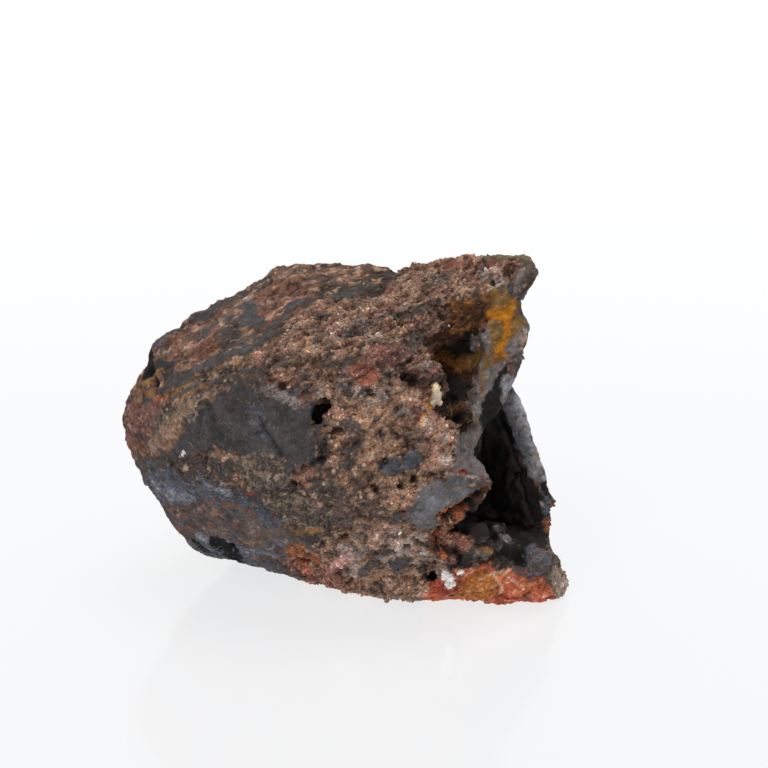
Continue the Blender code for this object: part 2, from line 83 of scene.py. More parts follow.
# Finishes: tint as it looks in daylight (0 to 255), how crumbly it is, how much it glints, its share of fine
# specks, and its blotches: tint, which of the blotch patterns it follows, and the share that it covers.
TAN = (166, 136, 112)
PINK = (156, 118, 102)
PALE_GREY = (152, 141, 133)
SLATE = (66, 62, 62)
BLUE = (66, 67, 72)
RED_BROWN = (112, 70, 54)
DARK = (50, 39, 33)
OCHRE = (140, 96, 40)
CRUMBS = (
    (PALE_GREY, 3, 0.16), (PINK, 0, 0.28), (TAN, 2, 0.3), (RED_BROWN, 4, 0.05), (SLATE, 1, 0.1),
    (DARK, 5, 0.07),
)
RIDGES = ((TAN, 2, 0.16), (SLATE, 0, 0.25), (RED_BROWN, 1, 0.25), (PINK, 3, 0.14), (DARK, 4, 0.14))
SLATES = ((BLUE, 2, 0.12), (DARK, 4, 0.08))
FINISHES = {
    "crumb": ((120, 94, 78), 0.9, 0.1, 0.12, CRUMBS),
    "crumb_sugar": ((152, 121, 101), 1.0, 0.15, 0.14, CRUMBS),
    "crumb_pink": (
        (140, 106, 92), 1.0, 0.1, 0.12,
        ((TAN, 2, 0.25), (PALE_GREY, 3, 0.15), (RED_BROWN, 4, 0.08), (DARK, 5, 0.08)),
    ),
    "crumb_tan": (
        (164, 132, 106), 0.9, 0.1, 0.12,
        ((PINK, 2, 0.25), (PALE_GREY, 3, 0.12), (SLATE, 4, 0.12), (DARK, 5, 0.06)),
    ),
    "crumb_dark": (
        (66, 57, 53), 0.55, 0.2, 0.16,
        ((TAN, 3, 0.12), (RED_BROWN, 2, 0.08), (SLATE, 4, 0.3), (DARK, 5, 0.1)),
    ),
    "crumb_grey": (
        (142, 130, 122), 0.9, 0.2, 0.2,
        ((TAN, 2, 0.2), (PINK, 3, 0.2), (SLATE, 4, 0.2), (DARK, 5, 0.08)),
    ),
    "crumb_red": ((132, 92, 79), 0.9, 0.1, 0.08, ((PINK, 3, 0.25), (TAN, 2, 0.12), (DARK, 4, 0.12))),
    "soft_red": ((166, 100, 80), 0.8, 0.1, 0.06, ((PINK, 3, 0.2), (RED_BROWN, 5, 0.12))),
    "crumb_purple": (
        (98, 69, 64), 1.0, 0.1, 0.1,
        ((PINK, 3, 0.25), (RED_BROWN, 2, 0.15), (DARK, 4, 0.25), (DARK, 1, 0.08)),
    ),
    "cream_specks": (
        (62, 55, 51), 0.4, 0.2, 0.24,
        (((128, 110, 92), 5, 0.24), ((112, 94, 78), 3, 0.16), (DARK, 4, 0.14)),
    ),
    "top_pink": (
        (138, 110, 93), 0.7, 0.1, 0.1,
        ((PINK, 1, 0.2), (TAN, 2, 0.22), (RED_BROWN, 4, 0.12), (DARK, 5, 0.12)),
    ),
    "top_red": ((118, 78, 64), 0.5, 0.1, 0.06, ((PINK, 3, 0.2), (DARK, 5, 0.1))),
    "ridge": ((94, 70, 57), 0.4, 0.1, 0.08, RIDGES),
    "ridge_red": (
        (104, 68, 54), 0.35, 0.1, 0.06,
        (((124, 86, 68), 3, 0.3), (SLATE, 4, 0.12), (DARK, 5, 0.1)),
    ),
    "top_dark": (
        (62, 52, 43), 0.4, 0.15, 0.08,
        ((SLATE, 0, 0.3), ((126, 84, 48), 3, 0.12), (TAN, 5, 0.1), (DARK, 4, 0.2)),
    ),
    "ridge_tan": (
        (114, 87, 69), 0.4, 0.1, 0.08,
        ((PINK, 2, 0.2), (SLATE, 4, 0.14), (PALE_GREY, 3, 0.12)),
    ),
    "bulge": (
        (112, 80, 69), 0.35, 0.1, 0.06,
        ((RED_BROWN, 2, 0.25), (PINK, 3, 0.12), (SLATE, 4, 0.15), (DARK, 5, 0.1)),
    ),
    "streaks": (
        (100, 84, 73), 0.45, 0.15, 0.14,
        ((TAN, 3, 0.22), (SLATE, 2, 0.25), (OCHRE, 5, 0.04), (DARK, 4, 0.1)),
    ),
    "dry_tan": ((128, 104, 84), 0.4, 0.1, 0.2, ((PINK, 2, 0.2), (SLATE, 4, 0.2))),
    "slate": ((60, 56, 56), 0.14, 0.35, 0.08, SLATES),
    "slate_dark": ((44, 41, 41), 0.1, 0.3, 0.05, SLATES),
    "slate_brown": ((68, 57, 51), 0.3, 0.25, 0.1, ((SLATE, 0, 0.3), (TAN, 3, 0.06), (DARK, 5, 0.08))),
    "slate_blue": ((59, 67, 81), 0.35, 0.6, 0.2, ((SLATE, 2, 0.3), (DARK, 4, 0.16))),
    "slate_pale": ((88, 97, 113), 0.45, 0.7, 0.3, ((SLATE, 4, 0.26), ((130, 134, 144), 3, 0.15))),
    "glitter": (
        (96, 90, 88), 0.6, 0.7, 0.45,
        (((178, 170, 166), 5, 0.14), ((140, 132, 126), 3, 0.2), (SLATE, 4, 0.25)),
    ),
    "slab": ((74, 78, 86), 0.3, 0.5, 0.1, ((SLATE, 2, 0.3), (RED_BROWN, 4, 0.12))),
    "facet": ((83, 80, 79), 0.08, 0.45, 0.03, ((SLATE, 1, 0.2), ((96, 96, 100), 0, 0.3))),
    "mauve": ((98, 90, 87), 0.08, 0.4, 0.03, ((SLATE, 2, 0.15), ((116, 100, 92), 3, 0.12))),
    "rim": ((127, 127, 132), 0.06, 0.45, 0.04, ((SLATE, 2, 0.1), ((108, 98, 88), 3, 0.14))),
    "beak": ((88, 75, 65), 0.08, 0.3, 0.03, ((SLATE, 2, 0.2), (TAN, 3, 0.12))),
    "brown": (
        (80, 70, 67), 0.25, 0.2, 0.1,
        ((BLUE, 0, 0.16), (RED_BROWN, 2, 0.12), ((126, 106, 94), 5, 0.07), (DARK, 4, 0.1)),
    ),
    "orange": ((150, 96, 62), 0.7, 0.1, 0.12, ((RED_BROWN, 3, 0.2), (TAN, 5, 0.15), (SLATE, 4, 0.12))),
    "pink_edge": (
        (196, 150, 140), 0.7, 0.2, 0.2,
        ((RED_BROWN, 2, 0.15), (PALE_GREY, 5, 0.16), (DARK, 4, 0.06)),
    ),
    "orange_tan": ((122, 92, 70), 0.4, 0.1, 0.1, ((TAN, 3, 0.2), (SLATE, 4, 0.15))),
    "rust_line": ((104, 64, 44), 0.2, 0.1, 0.1, ((SLATE, 5, 0.3),)),
    "vein": ((200, 156, 128), 0.2, 0.2, 0, ()),
    "ochre": ((150, 92, 6), 0.1, 0.05, 0.03, (((132, 78, 8), 3, 0.25), ((100, 62, 14), 5, 0.12))),
    "gold": ((184, 144, 96), 0.6, 0.2, 0.1, ((TAN, 3, 0.25), ((176, 116, 52), 5, 0.2))),
    "ochre_dull": ((118, 88, 60), 0.4, 0.05, 0.08, ((OCHRE, 3, 0.2), (DARK, 4, 0.15))),
    "rust": ((122, 78, 54), 1.0, 0.1, 0.08, ((DARK, 4, 0.3), (TAN, 5, 0.12), ((136, 74, 44), 1, 0.3))),
    "rust_dark": ((58, 34, 16), 0.6, 0.1, 0.04, ((DARK, 2, 0.2), (RED_BROWN, 3, 0.06))),
    "rust_wall": (
        (110, 66, 24), 0.45, 0.1, 0.06,
        ((DARK, 2, 0.2), ((136, 88, 36), 3, 0.2), ((70, 44, 22), 1, 0.3)),
    ),
    "olive": ((104, 76, 36), 0.2, 0.1, 0.03, (((126, 98, 62), 3, 0.25), ((92, 60, 24), 1, 0.25))),
    "olive_grey": ((104, 92, 68), 0.2, 0.1, 0.03, ((SLATE, 3, 0.2),)),
    "red": ((148, 64, 44), 0.6, 0.1, 0.06, ((PINK, 3, 0.1), (DARK, 4, 0.06))),
    "lobe": (
        (180, 96, 66), 0.55, 0.15, 0.12,
        (((184, 112, 56), 0, 0.25), ((200, 146, 124), 5, 0.16), ((140, 70, 50), 3, 0.16)),
    ),
    "lobe_ochre": ((178, 110, 50), 0.5, 0.1, 0.12, (((150, 88, 40), 3, 0.3), ((200, 150, 104), 5, 0.12))),
    "lobe_end": (
        (146, 126, 111), 0.6, 0.3, 0.2,
        ((PINK, 3, 0.2), (SLATE, 4, 0.2), (RED_BROWN, 2, 0.12), (PALE_GREY, 5, 0.15)),
    ),
    "white": ((238, 232, 228), 0.6, 0.7, 0, ((PINK, 4, 0.1),)),
    "pale": ((168, 152, 142), 0.6, 0.4, 0.2, ((PINK, 3, 0.25), (SLATE, 4, 0.12))),
    "pale_yellow": ((206, 188, 152), 0.3, 0.5, 0.05, ((TAN, 4, 0.2),)),
    "grey": ((98, 94, 94), 0.3, 0.4, 0.15, ((SLATE, 4, 0.2), (TAN, 3, 0.08))),
    # Near-black, for the hollow, the pocket and the rock by the hollow's lining: painted shade, partly the
    # goethite's own black.
    "black": ((29, 24, 21), 0.3, 0.1, 0.01, ()),
    "black_sparkle": ((6, 6, 9), 0.5, 0.1, 0.04, (((90, 92, 100), 5, 0.08),)),
    "floor_lumps": (
        (46, 40, 37), 0.8, 0.2, 0.06,
        ((SLATE, 1, 0.2), ((88, 78, 72), 3, 0.2), (DARK, 4, 0.3)),
    ),
    "black_crust": ((36, 25, 17), 1.0, 0.1, 0.03, (((112, 80, 40), 5, 0.08),)),
    # Near-black painted shade, for pits and gaps, and for the bulge beside the hollow so that it reads as
    # part of the hollow.
    "pit_shade": ((14, 11, 9), 0.3, 0.0, 0, ()),
}

# Areas of the side that the photograph shows, laid in this order:
# finish, how far its border wanders in mm, outline in the photograph's pixels.
AREAS = (
    ("ridge", 0.8, (
        (130, 405), (140, 365), (160, 345), (185, 318), (222, 295), (250, 272), (292, 255), (345, 250),
        (400, 255), (400, 285), (345, 292), (305, 300), (285, 320), (268, 338), (240, 354), (205, 368),
        (178, 382), (160, 400),
    )),
    ("crumb", 0.8, (
        (200, 374), (245, 356), (275, 338), (300, 308), (345, 292), (395, 285), (440, 268), (480, 262),
        (470, 300), (440, 318), (425, 345), (385, 352), (360, 372), (330, 388), (300, 386), (270, 390),
        (240, 388), (212, 394),
    )),
    ("top_pink", 0.8, (
        (390, 258), (440, 250), (490, 250), (530, 250), (520, 268), (505, 290), (470, 304), (440, 318),
        (400, 320), (380, 300),
    )),
    ("crumb_sugar", 0.7, (
        (325, 388), (365, 372), (385, 352), (445, 350), (442, 400), (436, 412), (457, 440), (452, 468),
        (425, 482), (402, 515), (428, 532), (445, 560), (430, 610), (380, 605), (340, 600), (300, 592),
        (290, 545), (280, 520), (300, 490), (310, 470), (330, 468), (328, 430), (322, 404),
    )),
    ("slate", 0.7, (
        (150, 445), (185, 425), (205, 400), (235, 386), (270, 393), (300, 402), (318, 402), (322, 430),
        (326, 462), (310, 474), (285, 470), (262, 464), (235, 454), (215, 450), (190, 458), (165, 466),
        (145, 462),
    )),
    ("crumb_dark", 0.9, (
        (165, 464), (190, 456), (215, 450), (235, 454), (262, 464), (285, 470), (310, 474), (330, 470),
        (335, 500), (332, 540), (300, 548), (280, 532), (262, 515), (235, 505), (205, 500), (160, 482),
    )),
    ("slate_blue", 0.6, (
        (130, 455), (160, 468), (205, 482), (235, 492), (275, 515), (292, 532), (255, 521), (215, 504),
        (175, 509), (145, 510), (132, 480),
    )),
    ("brown", 0.5, (
        (148, 510), (185, 508), (225, 507), (262, 520), (295, 535), (310, 555), (288, 574), (262, 560),
        (240, 546), (205, 539), (175, 541), (155, 530),
    )),
    ("slate_blue", 0.5, (
        (165, 541), (205, 537), (240, 546), (265, 560), (287, 571), (305, 590), (250, 580), (200, 570),
        (175, 555),
    )),
    ("bulge", 0.5, (
        (115, 400), (138, 390), (164, 400), (158, 425), (150, 445), (138, 462), (115, 450),
    )),
    ("streaks", 0.5, (
        (162, 402), (198, 386), (213, 392), (205, 402), (185, 426), (165, 442), (150, 456), (143, 450),
        (158, 425),
    )),
    ("rust_dark", 0.6, (
        (428, 352), (424, 324), (445, 303), (470, 296), (486, 302), (485, 325), (488, 332), (480, 352),
        (472, 380), (470, 412), (443, 407), (440, 370),
    )),
    # The hollow: near-black painted shade, partly the goethite's own black.
    ("black", 0.3, (
        (499, 380), (503, 400), (508, 430), (521, 463), (538, 486), (547, 506), (549, 530), (548, 552),
        (525, 562), (505, 565), (470, 560), (447, 540), (452, 522), (468, 510), (484, 496), (495, 483),
        (486, 450), (480, 428), (488, 404),
    )),
    ("mauve", 0.3, (
        (486, 322), (500, 320), (522, 318), (530, 330), (520, 350), (506, 362), (498, 384), (488, 412),
        (486, 425), (474, 418), (466, 408), (470, 392), (478, 368), (484, 345),
    )),
    ("olive", 0.4, (
        (484, 303), (487, 289), (500, 286), (512, 298), (522, 298), (534, 320), (522, 330), (508, 345),
        (498, 362), (484, 350), (487, 325),
    )),
    ("beak", 0.2, (
        (516, 262), (526, 252), (546, 252), (548, 284), (528, 286), (520, 300), (512, 300), (514, 280),
    )),
    ("mauve", 0.3, (
        (456, 470), (452, 448), (462, 432), (474, 424), (486, 428), (489, 450), (496, 480), (472, 477),
    )),
    # Near-black painted shade on the bulge beside the hollow, so that it reads as part of the hollow.
    ("pit_shade", 0.15, (
        (510, 364), (501, 371), (497, 376), (486, 397), (479, 416), (486, 436), (489, 457), (495, 480),
        (505, 480), (512, 441), (509, 426), (503, 403), (500, 384), (508, 374),
    )),
    ("rim", 0.2, (
        (500, 383), (504, 375), (512, 374), (524, 388), (532, 412), (532, 440), (546, 462), (556, 478),
        (554, 484), (542, 482), (531, 476), (525, 465), (515, 445), (509, 426), (503, 403),
    )),
    ("facet", 0.3, (
        (402, 515), (425, 486), (445, 472), (470, 479), (497, 482), (481, 491), (456, 502), (441, 514),
        (431, 531), (416, 530),
    )),
    ("rust", 0.4, (
        (441, 514), (456, 502), (481, 491), (497, 484), (484, 498), (468, 513), (455, 524), (450, 540),
        (446, 562), (430, 562), (432, 535),
    )),
    ("floor_lumps", 0.6, (
        (452, 565), (460, 548), (476, 536), (490, 530), (508, 530), (512, 548), (530, 560), (500, 570),
        (462, 572),
    )),
    ("lobe", 0.4, (
        (424, 594), (440, 579), (462, 570), (490, 566), (530, 571), (550, 580), (560, 592), (556, 612),
        (500, 616), (470, 612), (430, 612),
    )),
    ("lobe_end", 0.5, (
        (548, 566), (556, 560), (580, 570), (585, 610), (552, 612), (556, 594), (552, 580),
    )),
)

# Marks on the same side, laid after the areas: finish, half width in mm, strength, places in pixels.
LINE = 0.5  # half width up to which a mark is a line, with an even edge
WIDE = 1.3  # half width past which a mark's edge follows broad blotches
STRONG = 0.85  # strength from which a mark covers all that is under it
MARKS = (
    # The front crumbly stretch.
    ("crumb_tan", 2.2, 0.6, ((350, 440), (372, 425), (402, 412))),
    ("crumb_tan", 2.0, 0.6, ((330, 478), (352, 462), (375, 452), (392, 442))),
    ("crumb_pink", 2.4, 0.6, ((430, 432), (440, 445), (440, 465))),
    ("crumb_pink", 2.0, 0.5, ((395, 400), (412, 410), (424, 425))),
    ("crumb_tan", 1.6, 0.6, ((388, 505), (405, 492), (422, 478))),
    ("crumb_dark", 1.4, 0.8, ((348, 424), (358, 434), (352, 450), (345, 462))),
    ("crumb_dark", 2.2, 0.5, ((325, 490), (340, 505), (345, 525))),
    ("crumb_dark", 1.6, 0.5, ((360, 495), (378, 512), (395, 522))),
    ("crumb_grey", 3.2, 0.6, ((350, 560), (385, 545), (420, 560))),
    ("pale", 1.0, 0.5, ((340, 550), (360, 560), (352, 575))),
    ("pale", 0.9, 0.5, ((385, 560), (400, 545), (418, 538))),
    ("crumb_pink", 1.6, 0.5, ((375, 540), (395, 535), (415, 530))),
    # The crest, darker and purplish, with a red patch on its left.
    ("crumb_purple", 3.2, 0.84, ((385, 355), (405, 358), (430, 368), (436, 384))),
    ("crumb_red", 1.5, 0.7, ((382, 352), (372, 362), (360, 374))),
    ("soft_red", 1.3, 0.8, ((360, 371), (370, 376))),
    ("crumb_pink", 1.0, 0.5, ((395, 369), (412, 362), (430, 368))),
    # The top, in streaks that rise to the right.
    ("crumb_pink", 1.2, 0.5, ((300, 357), (330, 346), (370, 324), (400, 312))),
    ("crumb_pink", 1.3, 0.5, ((330, 335), (370, 312), (400, 302), (440, 286))),
    ("crumb_tan", 1.2, 0.5, ((280, 366), (310, 352), (335, 338))),
    ("crumb_dark", 1.0, 0.6, ((345, 332), (380, 320), (402, 314))),
    ("crumb_dark", 1.0, 0.6, ((395, 320), (420, 310), (440, 300))),
    ("crumb_dark", 1.2, 0.5, ((300, 374), (330, 368), (350, 362))),
    ("crumb_dark", 1.3, 0.5, ((410, 340), (420, 330), (436, 322))),
    ("crumb_dark", 1.0, 0.5, ((420, 285), (440, 280), (452, 272))),
    ("top_red", 1.5, 0.6, ((425, 270), (450, 264), (472, 258))),
    ("crumb_pink", 1.2, 0.5, ((440, 292), (460, 284), (478, 272))),
    ("slate_brown", 1.0, 0.5, ((225, 382), (255, 372), (285, 362))),
    # The upper left ridge.
    ("ridge_red", 2.6, 0.8, ((265, 296), (280, 288), (298, 292))),
    ("ridge_tan", 1.8, 0.7, ((282, 276), (310, 270), (345, 264))),
    ("ridge_tan", 1.5, 0.6, ((230, 318), (238, 300), (262, 285))),
    ("slate_brown", 1.8, 0.8, ((197, 318), (215, 306), (240, 294))),
    ("slate", 1.0, 0.8, ((200, 318), (214, 308), (230, 300))),
    ("slate", 1.6, 0.85, ((246, 306), (251, 316), (256, 325))),
    ("top_dark", 3.2, 0.9, ((338, 288), (355, 292), (375, 280), (392, 272))),
    ("slate", 1.0, 0.6, ((345, 296), (358, 292), (372, 284))),
    ("ridge_tan", 1.2, 0.6, ((318, 282), (335, 276), (352, 282))),
    ("ridge_tan", 1.4, 0.6, ((165, 352), (180, 342), (192, 346))),
    ("ridge_red", 1.5, 0.7, ((150, 362), (165, 358), (175, 366))),
    ("ridge_red", 1.6, 0.6, ((205, 345), (220, 332), (232, 338))),
    ("slate", 1.4, 0.6, ((205, 332), (218, 322), (228, 318))),
    ("orange_tan", 1.3, 0.85, ((236, 332), (246, 334), (252, 338))),
    ("red", 0.6, 0.7, ((262, 327), (269, 322))),
    ("orange_tan", 0.6, 0.6, ((264, 316), (278, 306), (288, 298))),
    # Slate veins, curving, with tan islands along them.
    ("top_dark", 2.2, 0.7, (
        (175, 386), (200, 374), (225, 362), (250, 352), (268, 340), (284, 322), (298, 306),
    )),
    ("slate_brown", 1.6, 0.7, ((225, 332), (240, 340), (256, 336), (262, 326))),
    ("slate", 0.95, 0.9, (
        (145, 398), (160, 392), (177, 380), (200, 368), (220, 358), (240, 352), (258, 342),
    )),
    ("slate", 0.8, 1.0, (
        (256, 343), (268, 333), (279, 319), (288, 307), (302, 300), (322, 300), (338, 294),
    )),
    ("slate", 0.7, 0.7, ((200, 366), (215, 354), (232, 346), (248, 346))),
    ("slate", 0.6, 0.8, ((176, 372), (170, 380), (165, 392))),
    ("slate", 0.6, 0.6, ((180, 394), (205, 384), (228, 374), (250, 366))),
    ("orange_tan", 0.55, 0.9, ((185, 368), (200, 362), (214, 352))),
    ("orange_tan", 0.5, 0.9, ((222, 366), (232, 362), (240, 360))),
    ("orange_tan", 0.6, 0.8, ((252, 354), (266, 346), (276, 338))),
    ("orange_tan", 0.6, 0.8, ((284, 326), (292, 317), (303, 309), (312, 308))),
    ("ochre_dull", 0.45, 0.9, ((168, 396), (180, 389), (192, 383))),
    ("ochre_dull", 0.4, 0.8, ((176, 402), (190, 392), (206, 384))),
    # The dark pits at the left edge, with near-black painted shade in them, and their ochre lips.
    ("pit_shade", 1.3, 1.0, ((148, 358), (150, 368), (146, 376))),
    ("slate_dark", 1.2, 0.9, ((145, 352), (160, 362), (168, 372))),
    ("ochre_dull", 0.5, 1.0, ((150, 375), (158, 370), (166, 369))),
    ("ochre_dull", 0.5, 1.0, ((136, 386), (144, 384), (151, 380))),
    ("pit_shade", 0.6, 1.0, ((153, 380), (156, 383))),
    # The bulge and the streaks at the left.
    ("ochre_dull", 0.7, 0.5, ((136, 400), (145, 394), (158, 392))),
    ("soft_red", 0.6, 0.6, ((154, 400), (168, 397))),
    ("dry_tan", 0.9, 0.7, ((158, 440), (172, 420), (190, 404), (205, 392))),
    ("orange_tan", 0.7, 0.7, ((160, 454), (168, 444), (182, 430))),
    ("dry_tan", 0.7, 0.6, ((152, 450), (166, 436), (178, 426))),
    ("slate_brown", 1.6, 0.6, ((140, 464), (150, 462), (170, 458))),
    ("white", 0.25, 0.9, ((182, 455), (184, 452))),
    # The smooth slate face.
    ("slate_dark", 1.6, 0.5, ((205, 408), (215, 430), (222, 444))),
    ("slate_blue", 1.4, 0.5, ((253, 402), (258, 412), (254, 420))),
    # Painted shade along the creases of the slate face, as dark lines.
    ("slate_dark", 0.34, 1.0, ((209, 404), (213, 416), (218, 428), (223, 437))),
    ("slate_dark", 0.3, 1.0, ((260, 418), (264, 430), (272, 439), (278, 447), (282, 456))),
    ("slate_dark", 0.2, 0.9, ((255, 434), (264, 431))),
    ("glitter", 0.9, 0.75, ((268, 391), (282, 396), (296, 403))),
    ("slate_brown", 1.6, 0.6, ((228, 376), (240, 374), (258, 378))),
    ("crumb_dark", 1.0, 0.8, ((316, 428), (322, 445), (322, 458))),
    ("orange_tan", 0.5, 0.5, ((215, 448), (225, 455), (236, 458))),
    # The dark stretch with tan specks.
    ("cream_specks", 1.5, 0.8, ((238, 470), (258, 460), (272, 462))),
    ("cream_specks", 1.8, 0.8, ((252, 488), (268, 480), (286, 478))),
    ("cream_specks", 1.8, 0.7, ((270, 505), (290, 500), (310, 508))),
    ("cream_specks", 1.4, 0.6, ((290, 525), (305, 530), (320, 524))),
    ("crumb_red", 1.4, 0.6, ((298, 470), (306, 480), (304, 470))),
    ("crumb_pink", 1.0, 0.6, ((232, 476), (236, 482))),
    ("orange_tan", 0.7, 0.6, ((214, 455), (222, 458))),
    # Blue-grey crystals below, with rusty arcs, and the brown lens.
    ("slate_pale", 1.4, 0.7, ((158, 488), (170, 496), (190, 500))),
    ("slate_pale", 0.8, 0.5, ((210, 488), (228, 494))),
    ("rust_line", 0.24, 0.9, ((222, 504), (234, 505), (245, 510), (255, 516))),
    ("rust_line", 0.22, 0.8, ((168, 511), (186, 508), (200, 503), (216, 501))),
    ("red", 0.3, 0.8, ((247, 494), (255, 496))),
    ("orange_tan", 0.4, 0.6, ((240, 540), (248, 545), (258, 543))),
    ("orange_tan", 0.3, 0.5, ((222, 484), (236, 486))),
    ("slate_pale", 0.9, 0.8, ((200, 536), (215, 540), (228, 544))),
    ("slate_pale", 1.0, 0.8, ((240, 549), (255, 553), (275, 557))),
    ("black_sparkle", 2.2, 1.0, ((222, 546), (234, 556), (248, 568))),
    ("black_sparkle", 0.8, 0.7, ((195, 543), (205, 550))),
    ("slate_pale", 0.8, 0.8, ((250, 567), (262, 570))),
    # Lower middle, warmer towards the bottom edge.
    ("ochre_dull", 0.9, 0.7, ((294, 530), (304, 534), (318, 530))),
    ("slate", 0.9, 0.9, ((309, 536), (310, 548))),
    ("orange", 1.5, 1.0, ((292, 556), (302, 550), (312, 558))),
    ("crumb_red", 2.4, 0.9, ((296, 572), (318, 580), (345, 588))),
    ("soft_red", 0.9, 0.8, ((298, 566), (306, 572), (312, 580))),
    ("pink_edge", 1.1, 1.0, ((310, 584), (330, 588), (350, 592))),
    ("pink_edge", 0.9, 0.8, ((326, 572), (338, 566), (345, 556))),
    ("crumb_red", 1.0, 0.6, ((355, 594), (380, 600), (400, 603))),
    ("slate", 1.1, 0.9, ((394, 567), (405, 563))),
    ("slate", 0.9, 0.7, ((362, 572), (372, 568))),
    ("orange", 0.7, 0.6, ((362, 560), (372, 557))),
    ("pale", 0.7, 0.6, ((396, 531), (400, 535))),
    # The blue-grey slab, and white or yellowish crystals.
    ("slab", 0.8, 0.9, ((388, 469), (395, 466))),
    ("slab", 1.1, 0.9, ((408, 464), (417, 458))),
    ("slab", 0.5, 0.8, ((396, 472), (404, 469))),
    ("rust_dark", 0.5, 0.7, ((398, 450), (402, 454))),
    ("slab", 0.9, 0.8, ((396, 519), (406, 516))),
    ("pale", 0.8, 0.6, ((443, 458), (450, 464))),
    ("pale", 0.6, 0.8, ((386, 386), (384, 394))),
    ("pale", 0.6, 0.8, ((345, 390), (352, 394), (358, 386))),
    ("gold", 0.6, 0.9, ((427, 401), (430, 407))),
    ("gold", 0.4, 0.6, ((424, 414), (422, 424))),
    ("pale_yellow", 0.8, 1.0, ((436, 390), (438, 401))),
    ("glitter", 0.7, 0.9, ((343, 386), (350, 392))),
    ("glitter", 0.6, 0.9, ((380, 396), (386, 399))),
    ("orange_tan", 0.5, 0.6, ((386, 326), (394, 328))),
    ("white", 0.2, 0.8, ((378, 334), (381, 337))),
    ("pale", 0.4, 0.8, ((425, 420), (428, 428))),
    # The ridge and the foot of the facet.
    # Pale line on the ridge above the facet: a painted highlight along its edge.
    ("pale", 0.16, 0.7, ((447, 473), (460, 475), (478, 477), (492, 481))),
    ("pale_yellow", 0.14, 0.6, ((486, 443), (488, 457))),
    ("red", 0.3, 0.9, ((461, 472), (466, 471))),
    ("slate_brown", 0.8, 0.6, ((470, 484), (480, 482), (488, 480))),
    ("rust_line", 0.3, 1.0, ((492, 485), (481, 493), (469, 499), (456, 505), (446, 514), (440, 524))),
    ("rust_dark", 1.2, 0.9, ((484, 493), (470, 506), (458, 516))),
    # Near-black painted shade in the broken edge.
    ("pit_shade", 0.7, 0.9, ((472, 505), (460, 515), (452, 528))),
    ("rust", 1.3, 0.8, ((462, 512), (450, 524))),
    ("crumb_red", 1.3, 0.7, ((452, 540), (462, 545), (450, 556))),
    # The lumps on the floor of the hollow, with near-black painted shade among them.
    ("black", 1.6, 0.8, ((470, 528), (486, 532), (500, 522))),
    ("grey", 1.1, 0.9, ((494, 534), (503, 539), (499, 548))),
    ("grey", 0.9, 0.8, ((476, 552), (486, 556))),
    ("ochre_dull", 0.5, 0.9, ((492, 538), (494, 543))),
    ("ochre_dull", 0.5, 0.8, ((482, 549), (488, 552))),
    ("black", 1.5, 0.9, ((505, 550), (516, 556), (528, 552))),
    ("slate_blue", 1.6, 0.9, ((530, 556), (538, 566), (546, 560))),
    ("brown", 0.8, 0.7, ((510, 568), (520, 572), (530, 578))),
    ("slate_brown", 1.2, 0.7, ((540, 566), (552, 572))),
    # The red foot.
    ("lobe_ochre", 1.8, 0.9, ((470, 586), (480, 578), (488, 586), (480, 594))),
    ("lobe_ochre", 1.0, 0.6, ((452, 596), (465, 598), (480, 602))),
    ("red", 1.1, 0.9, ((433, 585), (442, 590), (452, 596))),
    ("red", 0.9, 0.7, ((500, 596), (530, 598), (550, 600))),
    ("vein", 0.2, 0.7, ((494, 572), (497, 580), (502, 588), (500, 594))),
    ("vein", 0.16, 0.6, ((502, 570), (508, 578), (516, 582), (524, 588))),
    ("vein", 0.16, 0.5, ((478, 578), (488, 574), (500, 572))),
    ("brown", 0.8, 0.8, ((484, 604), (495, 607), (512, 605))),
    ("pale", 0.9, 0.9, ((564, 582), (567, 592), (566, 602))),
    ("white", 0.8, 1.0, ((447, 576), (450, 583))),
    ("white", 0.35, 1.0, ((461, 573), (463, 574))),
    # Near-black painted shade in a pit.
    ("pit_shade", 0.9, 0.9, ((424, 578), (432, 574))),
    # The horn and the pocket behind the crest.
    ("top_red", 0.8, 0.8, ((480, 262), (500, 261), (520, 261))),
    ("olive_grey", 0.9, 0.9, ((488, 254), (505, 251), (524, 255))),
    ("pale", 1.3, 0.7, ((480, 272), (490, 272), (496, 280), (488, 286))),
    # Near-black painted shade in a pit of the horn.
    ("pit_shade", 0.3, 1.0, ((492, 281), (492, 284))),
    ("orange_tan", 1.1, 0.8, ((466, 298), (478, 290), (486, 284))),
    ("rust_dark", 0.8, 0.7, ((512, 265), (506, 272))),
    ("mauve", 0.45, 0.7, ((522, 270), (518, 282), (515, 294))),
    ("rust_wall", 2.0, 0.8, ((456, 312), (468, 303), (481, 300), (478, 318), (464, 328))),
    ("rust_dark", 0.9, 0.8, ((480, 303), (476, 318), (474, 334))),
    ("rust_wall", 1.2, 0.7, ((444, 356), (456, 362), (468, 366), (476, 358))),
    ("top_pink", 1.4, 0.5, ((424, 330), (436, 320), (452, 312))),
    # Near-black painted shade in the gap behind the crest.
    ("pit_shade", 1.3, 1.0, ((456, 350), (468, 345), (474, 338))),
    # Near-black painted shade in the pocket below the crest.
    ("black", 1.7, 1.0, ((450, 392), (456, 384), (458, 396))),
    ("grey", 1.3, 0.7, ((474, 345), (482, 338), (486, 350))),
    ("olive", 1.2, 0.7, ((470, 362), (480, 354), (490, 360))),
    ("olive", 0.35, 0.5, ((484, 365), (481, 390))),
    ("ochre", 0.9, 1.0, ((489, 314), (497, 316), (507, 314))),
    ("ochre", 0.7, 1.0, ((494, 311), (509, 309))),
    ("ochre", 0.5, 1.0, ((507, 320), (507, 334))),
    ("ochre", 0.6, 1.0, ((503, 342), (500, 350))),
    ("ochre", 0.5, 1.0, ((496, 352), (504, 354))),
    ("ochre", 0.5, 0.8, ((511, 305), (515, 299))),
